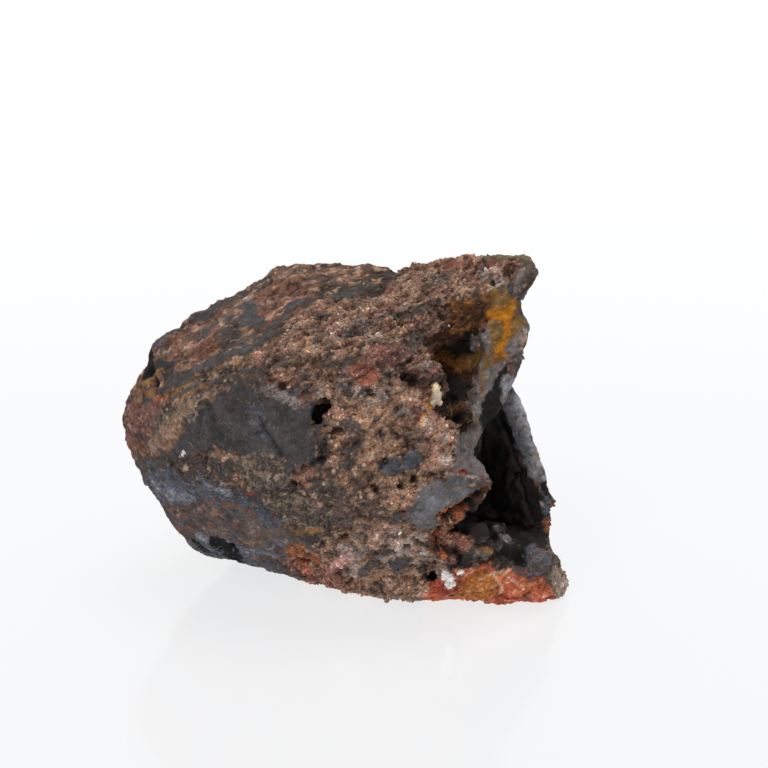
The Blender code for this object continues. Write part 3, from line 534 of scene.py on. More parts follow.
    ("ochre_dull", 0.6, 0.6, ((488, 322), (500, 326))),
    ("brown", 0.8, 0.7, ((521, 312), (528, 322))),
    ("pale", 0.8, 0.6, ((526, 334), (520, 346))),
    ("black_crust", 1.5, 1.0, ((443, 408), (455, 409), (464, 415), (466, 425))),
    ("rust_dark", 0.9, 0.6, ((455, 405), (470, 408))),
    # The back wall's rim.
    # Near-black painted shade at the inner edge of the rim.
    ("black", 0.9, 0.9, ((545, 485), (550, 494))),
    ("slate_blue", 0.8, 0.9, ((546, 501), (547, 509))),
    ("pale", 0.25, 0.8, ((541, 503), (543, 505))),
    ("orange", 0.8, 1.0, ((548, 518), (549, 528))),
)

# Pits and lumps of the skin: half width and height in mm, below nothing for a pit, places in pixels.
RELIEF = (
    # Creases of the slate face.
    (0.22, -0.3, ((209, 404), (213, 416), (218, 428), (223, 437))),
    (0.22, -0.3, ((260, 418), (264, 430), (272, 439), (278, 447), (282, 456))),
    (0.2, -0.2, ((255, 434), (264, 431))),
    (1.6, 0.35, ((216, 405), (222, 420), (232, 432))),
    (1.4, 0.3, ((270, 418), (280, 432), (288, 448))),
    # Pits of the crumbly front.
    (0.7, -2.0, ((324, 404), (321, 412), (317, 421))),
    (0.7, -1.4, ((330, 371), (337, 373))),
    (0.5, -1.0, ((326, 440), (323, 452), (320, 461))),
    (0.45, -0.7, ((320, 461), (312, 463))),
    (0.45, -0.9, ((332, 430), (341, 433))),
    (0.6, -1.2, ((279, 384), (284, 386))),
    (0.6, -1.2, ((302, 380), (304, 384))),
    (0.55, -0.9, ((346, 393), (350, 394))),
    (0.8, -1.5, ((408, 376), (414, 380))),
    (0.5, -0.7, ((398, 363), (404, 366))),
    (0.55, -0.9, ((381, 433), (383, 436))),
    (0.5, -0.8, ((395, 434), (398, 437))),
    (0.7, -1.2, ((396, 446), (399, 451))),
    (0.75, -1.3, ((401, 487), (408, 484), (414, 480))),
    (0.5, -0.9, ((374, 488), (378, 492))),
    (0.55, -0.9, ((362, 520), (368, 523))),
    (0.5, -0.9, ((340, 540), (345, 538))),
    (0.55, -0.9, ((386, 556), (392, 553))),
    (0.5, -0.8, ((414, 541), (418, 545))),
    (0.6, -1.0, ((300, 560), (306, 563))),
    (0.5, -0.7, ((292, 484), (297, 487))),
    (0.8, -1.2, ((424, 579), (431, 575))),
    # Pits of the top and the left edge.
    (0.9, -1.0, ((147, 360), (151, 372))),
    (0.5, -0.7, ((153, 380), (156, 384))),
    (0.5, -0.6, ((352, 330), (358, 327))),
    (0.45, -0.6, ((392, 318), (400, 315))),
    (0.5, -0.6, ((418, 296), (424, 293))),
    (0.35, -0.5, ((492, 281), (492, 284))),
    (0.4, -0.5, ((268, 366), (276, 362))),
    # The horn's beak.
    (1.9, -0.9, ((534, 285), (530, 292))),
    # Lumps of the front and the crest.
    (1.3, 0.7, ((372, 356), (384, 355), (398, 354))),
    (1.2, 0.7, ((422, 361), (432, 366))),
    (1.1, 0.8, ((434, 380), (436, 392))),
    (2.0, 0.8, ((438, 430), (444, 442), (442, 456))),
    (1.4, 0.6, ((362, 420), (372, 412))),
    (1.5, 0.6, ((360, 462), (368, 456))),
    (1.3, 0.5, ((340, 412), (346, 416))),
    (1.4, 0.5, ((392, 500), (398, 496))),
    (1.5, 0.5, ((360, 545), (372, 542))),
    (1.3, 0.5, ((414, 405), (420, 398))),
    (1.5, 0.5, ((310, 492), (316, 500))),
    (1.2, 0.5, ((268, 484), (276, 480))),
    # The broken edge under the facet, and the lumps of crust beside the pocket.
    (0.7, -1.2, ((446, 516), (456, 509), (468, 502))),
    (0.45, -0.9, ((476, 496), (480, 493))),
    (0.45, -0.8, ((442, 530), (446, 526))),
    (0.5, -0.9, ((438, 542), (441, 547))),
    (0.45, -0.8, ((462, 530), (466, 533))),
    (0.5, -0.9, ((456, 548), (458, 554))),
    (0.7, 0.7, ((448, 538), (450, 540))),
    (0.6, 0.6, ((456, 518), (458, 516))),
    (0.6, 0.6, ((442, 556), (444, 560))),
    (0.6, 0.6, ((468, 508), (470, 506))),
    (0.7, -1.1, ((452, 530), (458, 524))),
    (0.6, -0.9, ((462, 522), (470, 514))),
    (0.6, -0.9, ((446, 548), (452, 552))),
    (1.0, 0.7, ((458, 536), (464, 540))),
    (0.9, 0.6, ((450, 410), (452, 412))),
    (1.0, 0.8, ((464, 412), (467, 416))),
    (0.6, -0.8, ((457, 415), (458, 420))),
    (0.6, -0.7, ((470, 424), (473, 430))),
    # Lumps on the floor of the hollow.
    (1.3, 1.2, ((476, 534), (482, 532))),
    (1.0, 1.0, ((496, 528), (500, 527))),
    (1.5, 1.3, ((504, 544), (512, 547))),
    (1.1, 1.0, ((486, 547), (490, 549))),
    (1.6, 1.2, ((534, 556), (540, 564))),
    (1.0, -0.9, ((518, 556), (522, 560))),
    (1.1, 0.8, ((468, 546), (470, 550))),
    (1.0, 0.9, ((524, 536), (528, 540))),
    (0.9, 0.7, ((496, 560), (502, 560))),
    (0.8, -0.8, ((493, 537), (492, 541))),
    (0.7, -0.7, ((478, 542), (479, 546))),
    # Lumps of the red foot.
    (1.4, 0.5, ((478, 582), (484, 588))),
    (1.2, 0.4, ((508, 588), (516, 594))),
    (1.0, 0.4, ((536, 596), (542, 600))),
    (0.7, -0.4, ((458, 588), (462, 594))),
)

# Crystals set in the rock: length and width in mm, how much they lean upwards, tint, places in pixels.
WHITE = (250, 247, 244)
CLOUDY = (212, 196, 172)
CRYSTAL_SIDES = 6
CRYSTALS = (
    (1.1, 1.0, 0.2, WHITE, ((446, 576), (450, 577), (447, 582), (451, 582), (449, 585))),
    (0.5, 0.5, 0.2, WHITE, ((444, 573), (459, 573), (462, 572))),
    (2.2, 1.5, 1.2, CLOUDY, ((437, 398),)),
    (0.9, 0.7, 0.6, CLOUDY, ((433, 402), (440, 403))),
    (0.5, 0.4, 0.3, WHITE, ((449, 326), (446, 461), (183, 454), (400, 533), (486, 270))),
)


def daylight(tint):
    """Linear colour of a tint given as it looks on screen."""
    shares = [channel / 255 for channel in tint]
    return [((share + 0.055) / 1.055) ** 2.4 if share > 0.04 else share / 12.92 for share in shares]


# Camera and places in the photograph.

BACK = Vector((0, -math.cos(LOOK_DOWN), math.sin(LOOK_DOWN)))  # from the target to the camera
UP = Vector((0, math.sin(LOOK_DOWN), math.cos(LOOK_DOWN)))
RIGHT = Vector((1, 0, 0))
EYE = LOOK_AT + BACK * CAMERA_AWAY


def make_camera():
    data = bpy.data.cameras.new("camera")
    data.lens = LENS
    data.sensor_width = SENSOR
    data.clip_start = 0.01
    camera = bpy.data.objects.new("camera", data)
    camera.matrix_world = Matrix.Translation(EYE * MM) @ Matrix((RIGHT, UP, BACK)).transposed().to_4x4()
    bpy.context.scene.collection.objects.link(camera)
    bpy.context.scene.camera = camera


def on_rock(tree, place):
    """The point of the rock, in mm, that this pixel of the photograph shows."""
    across = (place[0] - PHOTO / 2) / FOCAL
    upwards = (PHOTO / 2 - place[1]) / FOCAL
    return tree.ray_cast(EYE, (RIGHT * across + UP * upwards - BACK).normalized())[0]


def in_photo(points):
    """Where the camera sees each point, in the photograph's pixels."""
    away = points - np.array(EYE)
    scale = FOCAL / -(away @ np.array(BACK))
    return PHOTO / 2 + np.stack((away @ np.array(RIGHT) * scale, away @ np.array(UP) * -scale), axis=1)


# Meshes and numbers.


def points_of(mesh):
    """The mesh's points in mm, one row each."""
    flat = np.empty(len(mesh.vertices) * 3, np.float32)
    mesh.vertices.foreach_get("co", flat)
    return flat.reshape(-1, 3).astype(float) / MM


def normals_of(mesh):
    flat = np.empty(len(mesh.vertices) * 3, np.float32)
    mesh.vertex_normals.foreach_get("vector", flat)
    return flat.reshape(-1, 3).astype(float)


def set_points(mesh, points):
    mesh.vertices.foreach_set("co", (points * MM).astype(np.float32).ravel())
    mesh.update()


def face_tree(mesh):
    """The mesh's faces, in mm, for casting rays at."""
    return BVHTree.FromPolygons(
        [Vector(point) for point in points_of(mesh)], [polygon.vertices[:] for polygon in mesh.polygons]
    )


def point_tree(points, rows):
    """These rows of the points, for finding the nearest of them."""
    tree = KDTree(len(rows))
    for row in rows:
        tree.insert(points[row], row)
    tree.balance()
    return tree


def smooth_step(low, high, value):
    share = np.clip((value - low) / (high - low), 0, 1)
    return share * share * (3 - 2 * share)


def sample(function, points, size, shift=0.0):
    """The noise function at each point, for features of this size in mm."""
    offset = Vector((shift, -shift * 0.7, shift * 0.4))
    return np.array([function(Vector(point) / size + offset) for point in points])


def rough(point):
    return noise.noise(point)


def billows(point):
    return noise.fractal(point, 0.9, 2.1, 4)


def cells(point):
    """0 in the middle of a cell, about 1 at its rim."""
    return noise.voronoi(point)[0][0]


def gaps(point):
    """0 in the gap between two cells, growing inwards."""
    away = noise.voronoi(point)[0]
    return away[1] - away[0]


def chance(point):
    """One value for the whole of a cell."""
    return noise.cell(noise.voronoi(point)[1][0] * 7.3)


def chips(point):
    """Flat chips, each leaning its own way."""
    middle = noise.voronoi(point)[1][0]
    return (noise.cell_vector(middle * 9.7) - Vector((0.5, 0.5, 0.5))).dot(point - middle) * 2


def warp(points, size, reach):
    """The points pushed about, so that borders drawn with them wander."""
    moved = np.array([noise.noise_vector(Vector(point) / size) for point in points])
    return points + moved * reach


def drawn_together(points, share):
    """The points moved together along the layers of the ore, so that a pattern read there is stretched."""
    along = points @ np.array(STREAK)
    return points - np.outer(along, np.array(STREAK)) * share


def away_from_stroke(points, stroke):
    """Distance of each point from a line of places, in mm."""
    nearest = np.full(len(points), 1e9)
    stroke = [np.array(place) for place in stroke]
    for start, end in zip(stroke, stroke[1:] or stroke):
        along = end - start
        share = np.clip((points - start) @ along / max(along @ along, 1e-9), 0, 1)
        nearest = np.minimum(nearest, np.linalg.norm(points - start - share[:, None] * along, axis=1))
    return nearest


def inside_outline(pixels, outline):
    """How far inside the outline each place is, in pixels, below nothing outside it."""
    corners = np.array(outline, float)
    inside = np.zeros(len(pixels), bool)
    nearest = np.full(len(pixels), 1e9)
    for start, end in zip(corners, np.roll(corners, -1, axis=0)):
        along = end - start
        share = np.clip((pixels - start) @ along / (along @ along), 0, 1)
        nearest = np.minimum(nearest, np.linalg.norm(pixels - start - share[:, None] * along, axis=1))
        if along[1]:
            level = (start[1] > pixels[:, 1]) != (end[1] > pixels[:, 1])
            inside ^= level & (pixels[:, 0] < start[0] + (pixels[:, 1] - start[1]) * along[0] / along[1])
    return np.where(inside, nearest, -nearest)


def stroke_field(points, tree, half_width, places):
    """(rows near the stroke, 1 in its middle falling to 0 past its edge)"""
    hits = [on_rock(tree, place) for place in places]
    stroke = [hit for hit in hits if hit is not None]
    if not stroke:
        return np.empty(0, int), np.empty(0)
    reach = half_width * 1.4 + 0.3
    low = np.min(stroke, axis=0) - reach
    high = np.max(stroke, axis=0) + reach
    near = np.flatnonzero(((points > low) & (points < high)).all(axis=1))
    away = away_from_stroke(points[near], stroke)
    return near, smooth_step(half_width * 1.35 + 0.1, half_width * 0.45, away)


def new_object(name, mesh):
    made = bpy.data.objects.new(name, mesh)
    bpy.context.scene.collection.objects.link(made)
    return made


def applied(made):
    """Bakes the object's modifiers into its mesh."""
    bpy.context.view_layer.update()
    graph = bpy.context.evaluated_depsgraph_get()
    mesh = bpy.data.meshes.new_from_object(made.evaluated_get(graph))
    made.modifiers.clear()
    old = made.data
    made.data = mesh
    bpy.data.meshes.remove(old)


def merged_copy(name, node):
    """A copy of a CAD node with its loose triangles joined."""
    bm = bmesh.new()
    bm.from_mesh(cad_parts[node].data)
    bmesh.ops.remove_doubles(bm, verts=bm.verts, dist=1e-6)
    mesh = bpy.data.meshes.new(name)
    bm.to_mesh(mesh)
    bm.free()
    return new_object(name, mesh)


def remeshed(made, cell):
    """Gives the object small even faces in place of its own, a little smoothed."""
    voxels = made.modifiers.new("cells", "REMESH")
    voxels.mode = "VOXEL"
    voxels.voxel_size = cell * MM
    smooth = made.modifiers.new("smooth", "SMOOTH")
    smooth.factor = 0.5
    smooth.iterations = 2
    applied(made)


def set_material(made, material):
    made.data.materials.clear()
    made.data.materials.append(material)


def write_values(mesh, name, values):
    attribute = mesh.attributes.new(name, "FLOAT", "POINT")
    attribute.data.foreach_set("value", values.astype(np.float32))


def write_colours(mesh, name, colours):
    attribute = mesh.attributes.new(name, "FLOAT_COLOR", "POINT")
    rows = np.ones((len(colours), 4), np.float32)
    rows[:, :3] = colours
    attribute.data.foreach_set("color", rows.ravel())


# What lies where.


def blotch_patterns(points):
    """Six patterns of blotches, each ranked from 0 to 1 over the points: four of patches from 3 mm wide down
    to 1 mm, and two of single crystals, which gather in clusters."""
    layered = drawn_together(points, 0.35)
    stirred = warp(points, 0.5, 0.2)
    patterns = []
    for size, shift, crystal in (
        (2.6, 7.0, 0), (2.6, 47.0, 0), (1.3, 31.0, 0), (1.0, 53.0, 0), (2.2, 61.0, 0.85), (1.7, 73.0, 0.55),
    ):
        values = sample(billows, layered, size, shift)
        if crystal:
            values = values + 0.45 * sample(chance, stirred, crystal, shift)
        ranks = np.empty(len(points))
        ranks[np.argsort(values)] = np.linspace(0, 1, len(points))
        patterns.append(ranks)
    return patterns


def blotched(finish, patterns, rows):
    """The tint of a finish at these rows, with its blotches."""
    tint = np.tile(daylight(FINISHES[finish][0]), (len(rows), 1))
    for look, pattern, cover in FINISHES[finish][4]:
        share = smooth_step(1 - cover - 0.06, 1 - cover + 0.06, patterns[pattern][rows])
        tint += (np.array(daylight(look)) - tint) * share[:, None] * 0.85
    return tint


def lay(layers, rows, share, finish, patterns):
    """Lays a finish over these rows, by their share."""
    tint, *values = layers
    tint[rows] += (blotched(finish, patterns, rows) - tint[rows]) * share[:, None]
    for value, laid in zip(values, FINISHES[finish][1:4]):
        value[rows] += (laid - value[rows]) * share


def natural_layers(points, patterns):
    """(tint, crumb, gloss, specks) of ore that no mark covers: layers of slate in crumbly brown ore."""
    layered = drawn_together(points, 0.6)
    layers = (np.zeros((len(points), 3)), *(np.zeros(len(points)) for _ in range(3)))
    everything = np.arange(len(points))
    ragged = (patterns[2] - 0.5) * 0.16 + (patterns[4] - 0.5) * 0.14
    lay(layers, everything, np.ones(len(points)), "crumb_dark", patterns)
    for finish, size, shift, threshold in (
        ("crumb", 8.0, 11.0, -0.1),
        ("crumb_grey", 6.0, 19.0, 0.16),
        ("ridge_red", 5.0, 23.0, 0.2),
        ("ridge_tan", 4.0, 37.0, 0.22),
        ("crumb_purple", 7.0, 29.0, 0.26),
        ("slate", 10.0, 5.0, 0.06),
        ("brown", 6.0, 71.0, 0.2),
        ("slate_blue", 7.0, 83.0, 0.26),
        ("orange_tan", 3.6, 51.0, 0.42),
    ):
        values = sample(billows, layered, size, shift) + ragged
        share = smooth_step(threshold - 0.05, threshold + 0.05, values)
        lay(layers, everything, share, finish, patterns)
    return layers


def places_in_photo(points, seen, patterns):
    """(the pixel that shows each point, how much of what that pixel shows lies there)

    A point that the camera doesn't see takes the pixel of the nearest one that it does see."""
    pixels = in_photo(warp(points, 0.9, 0.3))
    known = point_tree(points, np.flatnonzero(seen))
    away = np.zeros(len(points))
    for row in np.flatnonzero(~seen):
        _, nearest, away[row] = known.find(points[row])
        pixels[row] = pixels[nearest]
    carried = smooth_step(CARRIED + 1, CARRIED - 1, away + 5 * (patterns[1] - 0.5))
    return pixels, np.where(seen, 1, carried)


def lay_areas(layers, pixels, carried, patterns):
    """The areas, with ragged borders. Every second one has its raggedness turned over, so that two
    areas that share a border don't wander alike."""
    for turn, (finish, wander, outline) in enumerate(AREAS):
        ragged = 0.8 * (patterns[1] - 0.5) * (-1) ** turn
        ragged += 0.7 * (patterns[3] - 0.5) + 0.9 * (patterns[5] - 0.5)
        depth = inside_outline(pixels, outline) / PIXELS_PER_MM + ragged * 2.2 * wander
        rows = np.flatnonzero((depth > -0.3) & (carried > 0))
        lay(layers, rows, smooth_step(-0.2, 0.2, depth[rows]) * carried[rows], finish, patterns)


def lay_marks(layers, points, tree, patterns):
    """The marks: wide ones are broken up by broad blotches, fine ones by fine blotches, and lines least."""
    wandering = warp(warp(points, 3.0, 0.6), 0.8, 0.25)
    broad = (patterns[1] - 0.5) * 0.6 + (patterns[3] - 0.5) * 0.4
    fine = (patterns[3] - 0.5) * 0.4 + (patterns[5] - 0.5) * 0.35
    for turn, (finish, half_width, strength, places) in enumerate(MARKS):
        is_line = half_width <= LINE
        rows, field = stroke_field(points if is_line else wandering, tree, half_width, places)
        if is_line:
            threshold = 0.45 + 0.4 * (patterns[5][rows] - 0.5)
        else:
            threshold = 0.5 + (broad if half_width > WIDE else fine)[rows] * (-1) ** turn
        share = smooth_step(threshold - 0.12, threshold + 0.12, field * (0.25 + 0.9 * strength))
        if strength < STRONG:
            share *= 0.8 + 0.2 * patterns[5][rows]
        lay(layers, rows, share, finish, patterns)


def paint(points, tree, lining, seen):
    """(tint, crumb, gloss, specks) of each point of the skin."""
    patterns = blotch_patterns(points)
    layers = natural_layers(points, patterns)
    pixels, carried = places_in_photo(points, seen, patterns)
    lay_areas(layers, pixels, carried, patterns)
    lay_marks(layers, points, tree, patterns)
    tint = layers[0]
    # Lighter and darker patches all over.
    uneven = 1 + 0.25 * sample(billows, points, 5.0, 83.0) + 0.35 * sample(billows, points, 1.1, 89.0)
    tint *= np.clip(uneven, 0.65, 1.5)[:, None]
    # Black where the rock meets the hollow's lining: painted shade of the hollow.
    inside = np.array([lining.find(point)[2] for point in points])
    hollow_shade = 1 - smooth_step(0.3, 0.8, inside + 0.3 * sample(rough, points, 1.5))
    lay(layers, np.arange(len(points)), hollow_shade, "black", patterns)
    return layers


def weather(points, normals, crumb, tree):
    """(the skin's points moved along their normals, how far each stands out)

    Crumbly ore gets lumps from 4 mm down to 0.5 mm wide, crevices, small pits and, on top, streaks along its
    layers. Slate gets low swells and flat chips."""
    layered = drawn_together(points, 0.4)
    stirred = warp(points, 0.8, 0.3)
    crumbs = 0.5 * sample(billows, layered, 4.0)
    crumbs += 1.0 * (0.42 - sample(cells, warp(layered, 1.6, 0.6), 2.4, 3.0))
    crumbs += 0.6 * (0.42 - sample(cells, stirred, 1.05, 9.0))
    crumbs += 0.3 * (0.42 - sample(cells, points, 0.55, 21.0))
    crumbs -= 0.35 * smooth_step(0.2, 0.0, sample(gaps, warp(layered, 1.4, 0.4), 1.7, 27.0))
    crumbs += 0.2 * sample(billows, points, 0.6, 13.0)
    crumbs -= 0.8 * smooth_step(0.22, 0.1, sample(cells, warp(points, 1.2, 0.9), 4.4, 17.0))
    streaks = sample(billows, drawn_together(points, 0.75), 1.0, 5.0)
    crumbs += 0.9 * smooth_step(0.3, 0.7, normals[:, 2]) * streaks
    slate = 0.22 * sample(billows, layered, 4.0, 2.0) + 0.35 * sample(chips, layered, 3.4)
    slate += 0.06 * sample(billows, layered, 0.8, 19.0)
    height = crumbs * crumb + slate * (1 - crumb)
    wandering = warp(points, 0.9, 0.3)
    for half_width, rise, places in RELIEF:
        rows, share = stroke_field(wandering if half_width > 0.3 else points, tree, half_width, places)
        height[rows] += rise * share
    return points + normals * height[:, None], height


def seen_by_camera(points, normals, tree):
    """Whether nothing stands between each point and the camera."""
    seen = np.zeros(len(points), bool)
    for row in np.flatnonzero(((np.array(EYE) - points) * normals).sum(axis=1) > 0):
        start = Vector(points[row] + normals[row] * 0.3)
        seen[row] = tree.ray_cast(start, (EYE - start).normalized())[0] is None
    return seen


def finer_where_seen(made):
    """Splits the faces that the camera sees."""
    bm = bmesh.new()
    bm.from_mesh(made.data)
    tree = BVHTree.FromBMesh(bm)
    eye = EYE * MM
    chosen = set()
    for face in bm.faces:
        start = face.calc_center_median() + face.normal * MM
        if face.normal.dot(eye - start) > 0 and tree.ray_cast(start, (eye - start).normalized())[0] is None:
            chosen.update(face.edges)
    bmesh.ops.subdivide_edges(bm, edges=list(chosen), cuts=1, use_grid_fill=True)
    bmesh.ops.triangulate(bm, faces=[face for face in bm.faces if len(face.verts) > 4])
    bm.to_mesh(made.data)
    bm.free()


# Shader nodes.


def plug(tree, socket, value):
    """Gives an input its value: a number, a colour or another node's output."""
    if isinstance(value, bpy.types.NodeSocket):
        tree.links.new(value, socket)
    else:
        socket.default_value = value


def add(tree, kind, sockets=None, **settings):
    """A new node, with the values of its sockets."""
    made = tree.nodes.new(kind)
    for name, value in settings.items():
        setattr(made, name, value)
    for name, value in (sockets or {}).items():
        plug(tree, made.inputs[name], value)
    return made


def maths(tree, operation, first, second=0.0, third=0.0):
    return add(tree, "ShaderNodeMath", {0: first, 1: second, 2: third}, operation=operation).outputs[0]


def vector_maths(tree, operation, sockets):
    return add(tree, "ShaderNodeVectorMath", sockets, operation=operation).outputs[0]


def ramp(tree, value, low, high, start=0.0, end=1.0):
    """The value moved from one range to another, and clamped."""
    sockets = {"Value": value, "From Min": low, "From Max": high, "To Min": start, "To Max": end}
    return add(tree, "ShaderNodeMapRange", sockets, interpolation_type="SMOOTHSTEP").outputs[0]


def mixed(tree, share, first, second, blend="MIX"):
    """Two colours mixed."""
    made = add(tree, "ShaderNodeMix", data_type="RGBA", blend_type=blend)
    for index, value in ((0, share), (6, first), (7, second)):
        plug(tree, made.inputs[index], value)
    return made.outputs[2]


def ore_grain_group():
    """Fine grain of the ore: light and dark crystals where it is crumbly, a faint mottle where it is slate,
    and pale and rusty specks."""
    tree = bpy.data.node_groups.new("ore grain", "ShaderNodeTree")
    for name, kind, way in (
        ("Vector", "NodeSocketVector", "INPUT"),
        ("Tint", "NodeSocketColor", "INPUT"),
        ("Crumb", "NodeSocketFloat", "INPUT"),
        ("Specks", "NodeSocketFloat", "INPUT"),
        ("Crystals per metre", "NodeSocketFloat", "INPUT"),
        ("Color", "NodeSocketColor", "OUTPUT"),
        ("Height", "NodeSocketFloat", "OUTPUT"),
        ("Random", "NodeSocketFloat", "OUTPUT"),
    ):
        tree.interface.new_socket(name, in_out=way, socket_type=kind)
    given = tree.nodes.new("NodeGroupInput").outputs
    noisy = add(tree, "ShaderNodeTexNoise", {"Vector": given["Vector"], "Scale": 3300.0, "Detail": 1.0})
    stir = vector_maths(tree, "SUBTRACT", {0: noisy.outputs["Color"], 1: (0.5,) * 3})
    stir = vector_maths(tree, "SCALE", {0: stir, "Scale": 0.0006})
    loose = vector_maths(tree, "ADD", {0: given["Vector"], 1: stir})
    crystals = add(tree, "ShaderNodeTexVoronoi", {"Vector": loose, "Scale": given["Crystals per metre"]})
    chance = add(tree, "ShaderNodeSeparateColor", {"Color": crystals.outputs["Color"]}).outputs
    fine = add(
        tree, "ShaderNodeTexNoise",
        {"Vector": given["Vector"], "Scale": 5200.0, "Detail": 3.0, "Roughness": 0.6},
    ).outputs["Fac"]
    crumb = given["Crumb"]
    light = ramp(tree, chance[0], 0.0, 1.0, 0.72, 1.32)
    faint = ramp(tree, chance[0], 0.0, 1.0, 0.86, 1.16)
    strength = maths(tree, "MULTIPLY_ADD", maths(tree, "SUBTRACT", light, faint), crumb, faint)
    strength = maths(tree, "MULTIPLY", strength, ramp(tree, fine, 0.25, 0.75, 0.7, 1.32))
    colour = mixed(tree, 1.0, given["Tint"], strength, "MULTIPLY")
    warm = maths(tree, "MULTIPLY", ramp(tree, chance[1], 0.75, 0.85), crumb)
    colour = mixed(tree, warm, colour, (1.08, 0.93, 0.84, 1), "MULTIPLY")
    cool = maths(tree, "MULTIPLY", ramp(tree, chance[1], 0.25, 0.15), crumb)
    colour = mixed(tree, cool, colour, (0.8, 0.84, 0.9, 1), "MULTIPLY")
    glints = maths(tree, "MULTIPLY", ramp(tree, chance[2], 0.94, 0.99), ramp(tree, crumb, 0.0, 0.6, 0.5, 1.0))
    colour = mixed(tree, glints, colour, (1.9, 1.95, 2.0, 1), "MULTIPLY")
    dots = add(tree, "ShaderNodeTexVoronoi", {"Vector": loose, "Scale": 4600.0}).outputs["Color"]
    dots = add(tree, "ShaderNodeSeparateColor", {"Color": dots}).outputs[0]
    edge = maths(tree, "SUBTRACT", 1.0, given["Specks"])
    contrast = ramp(tree, given["Specks"], 0.05, 0.4, 0.1, 0.62)
    pale = ramp(tree, dots, edge, maths(tree, "ADD", edge, 0.05), 0.0, contrast)
    colour = mixed(tree, pale, colour, (0.38, 0.31, 0.26, 1))
    edge = maths(tree, "MULTIPLY", given["Specks"], 0.7)
    rusty = ramp(tree, dots, edge, maths(tree, "SUBTRACT", edge, 0.05), 0.0, 0.5)
    colour = mixed(tree, rusty, colour, (0.15, 0.075, 0.05, 1))
    result = tree.nodes.new("NodeGroupOutput").inputs
    tree.links.new(colour, result["Color"])
    bumps = maths(tree, "MULTIPLY", maths(tree, "SUBTRACT", 0.6, crystals.outputs["Distance"]), crumb)
    tree.links.new(maths(tree, "MULTIPLY_ADD", fine, 0.6, bumps), result["Height"])
    tree.links.new(chance[2], result["Random"])
    return tree


ORE_GRAIN = ore_grain_group()


def new_material(name):
    """(material, its tree, its Principled BSDF)"""
    material = bpy.data.materials.new(name)
    material.use_nodes = True
    tree = material.node_tree
    return material, tree, tree.nodes["Principled BSDF"]


def grained(tree, tint, crumb, specks, crystals_per_metre):
    """The ore grain group, set in a material."""
    where = tree.nodes.new("ShaderNodeTexCoord").outputs["Object"]
    made = tree.nodes.new("ShaderNodeGroup")
    made.node_tree = ORE_GRAIN
    for name, value in (
        ("Vector", where), ("Tint", tint), ("Crumb", crumb), ("Specks", specks),
        ("Crystals per metre", crystals_per_metre),
    ):
        plug(tree, made.inputs[name], value)
    return made.outputs


def attribute(tree, name, output):
    return add(tree, "ShaderNodeAttribute", attribute_name=name).outputs[output]


def ore_material():
    """The skin: slate with a dull sheen, crumbly ore with none."""
    material, tree, surface = new_material("iron_ore")
    crumb = attribute(tree, "crumb", "Fac")
    gloss = attribute(tree, "gloss", "Fac")
    grain = grained(tree, attribute(tree, "tint", "Color"), crumb, attribute(tree, "specks", "Fac"), 2900.0)
    tree.links.new(grain["Color"], surface.inputs["Base Color"])
    glint = maths(tree, "MULTIPLY", gloss, ramp(tree, grain["Random"], 0.2, 0.9, 0.35, 1.0))
    tree.links.new(ramp(tree, glint, 0.0, 0.9, 0.85, 0.32), surface.inputs["Roughness"])
    bump = add(tree, "ShaderNodeBump", {"Height": grain["Height"], "Strength": 0.75, "Distance": 0.00025})
    tree.links.new(bump.outputs["Normal"], surface.inputs["Normal"])
    surface.inputs["Specular IOR Level"].default_value = 0.3
    return material


def grain_material():
    """Loose grains: each takes the tint of the ore under it, made lighter or darker by its own tone."""
    material, tree, surface = new_material("ore_grains")
    tone = attribute(tree, "tone", "Fac")
    strength = ramp(tree, tone, 0.0, 1.0, 0.78, 1.35)
    tint = mixed(tree, 1.0, attribute(tree, "tint", "Color"), strength, "MULTIPLY")
    hue = attribute(tree, "hue", "Fac")
    tint = mixed(tree, ramp(tree, hue, 0.8, 0.9), tint, (1.08, 0.93, 0.84, 1), "MULTIPLY")
    tint = mixed(tree, ramp(tree, hue, 0.2, 0.1), tint, (0.78, 0.84, 0.92, 1), "MULTIPLY")
    # Painted glints: the brightest few grains are made half again as light, bluish-white.
    tint = mixed(tree, ramp(tree, tone, 0.95, 0.99), tint, (1.5, 1.55, 1.6, 1), "MULTIPLY")
    grain = grained(tree, tint, 0.25, 0.08, 4200.0)
    tree.links.new(grain["Color"], surface.inputs["Base Color"])
    tree.links.new(ramp(tree, tone, 0.6, 1.0, 0.8, 0.45), surface.inputs["Roughness"])
    bump = add(tree, "ShaderNodeBump", {"Height": grain["Height"], "Strength": 0.4, "Distance": 0.00015})
    tree.links.new(bump.outputs["Normal"], surface.inputs["Normal"])
    surface.inputs["Specular IOR Level"].default_value = 0.3
    return material


def quartz_material():
    """Cloudy quartz, clearer in some places than in others."""
    material, tree, surface = new_material("quartz")
    where = tree.nodes.new("ShaderNodeTexCoord").outputs["Object"]
    cloud = add(tree, "ShaderNodeTexNoise", {"Vector": where, "Scale": 1800.0, "Detail": 3.0}).outputs["Fac"]
    shade = ramp(tree, cloud, 0.3, 0.7, 0.75, 1.1)
    colour = mixed(tree, 1.0, attribute(tree, "tint", "Color"), shade, "MULTIPLY")
    tree.links.new(colour, surface.inputs["Base Color"])
    tree.links.new(ramp(tree, cloud, 0.3, 0.7, 0.18, 0.4), surface.inputs["Roughness"])
    return material


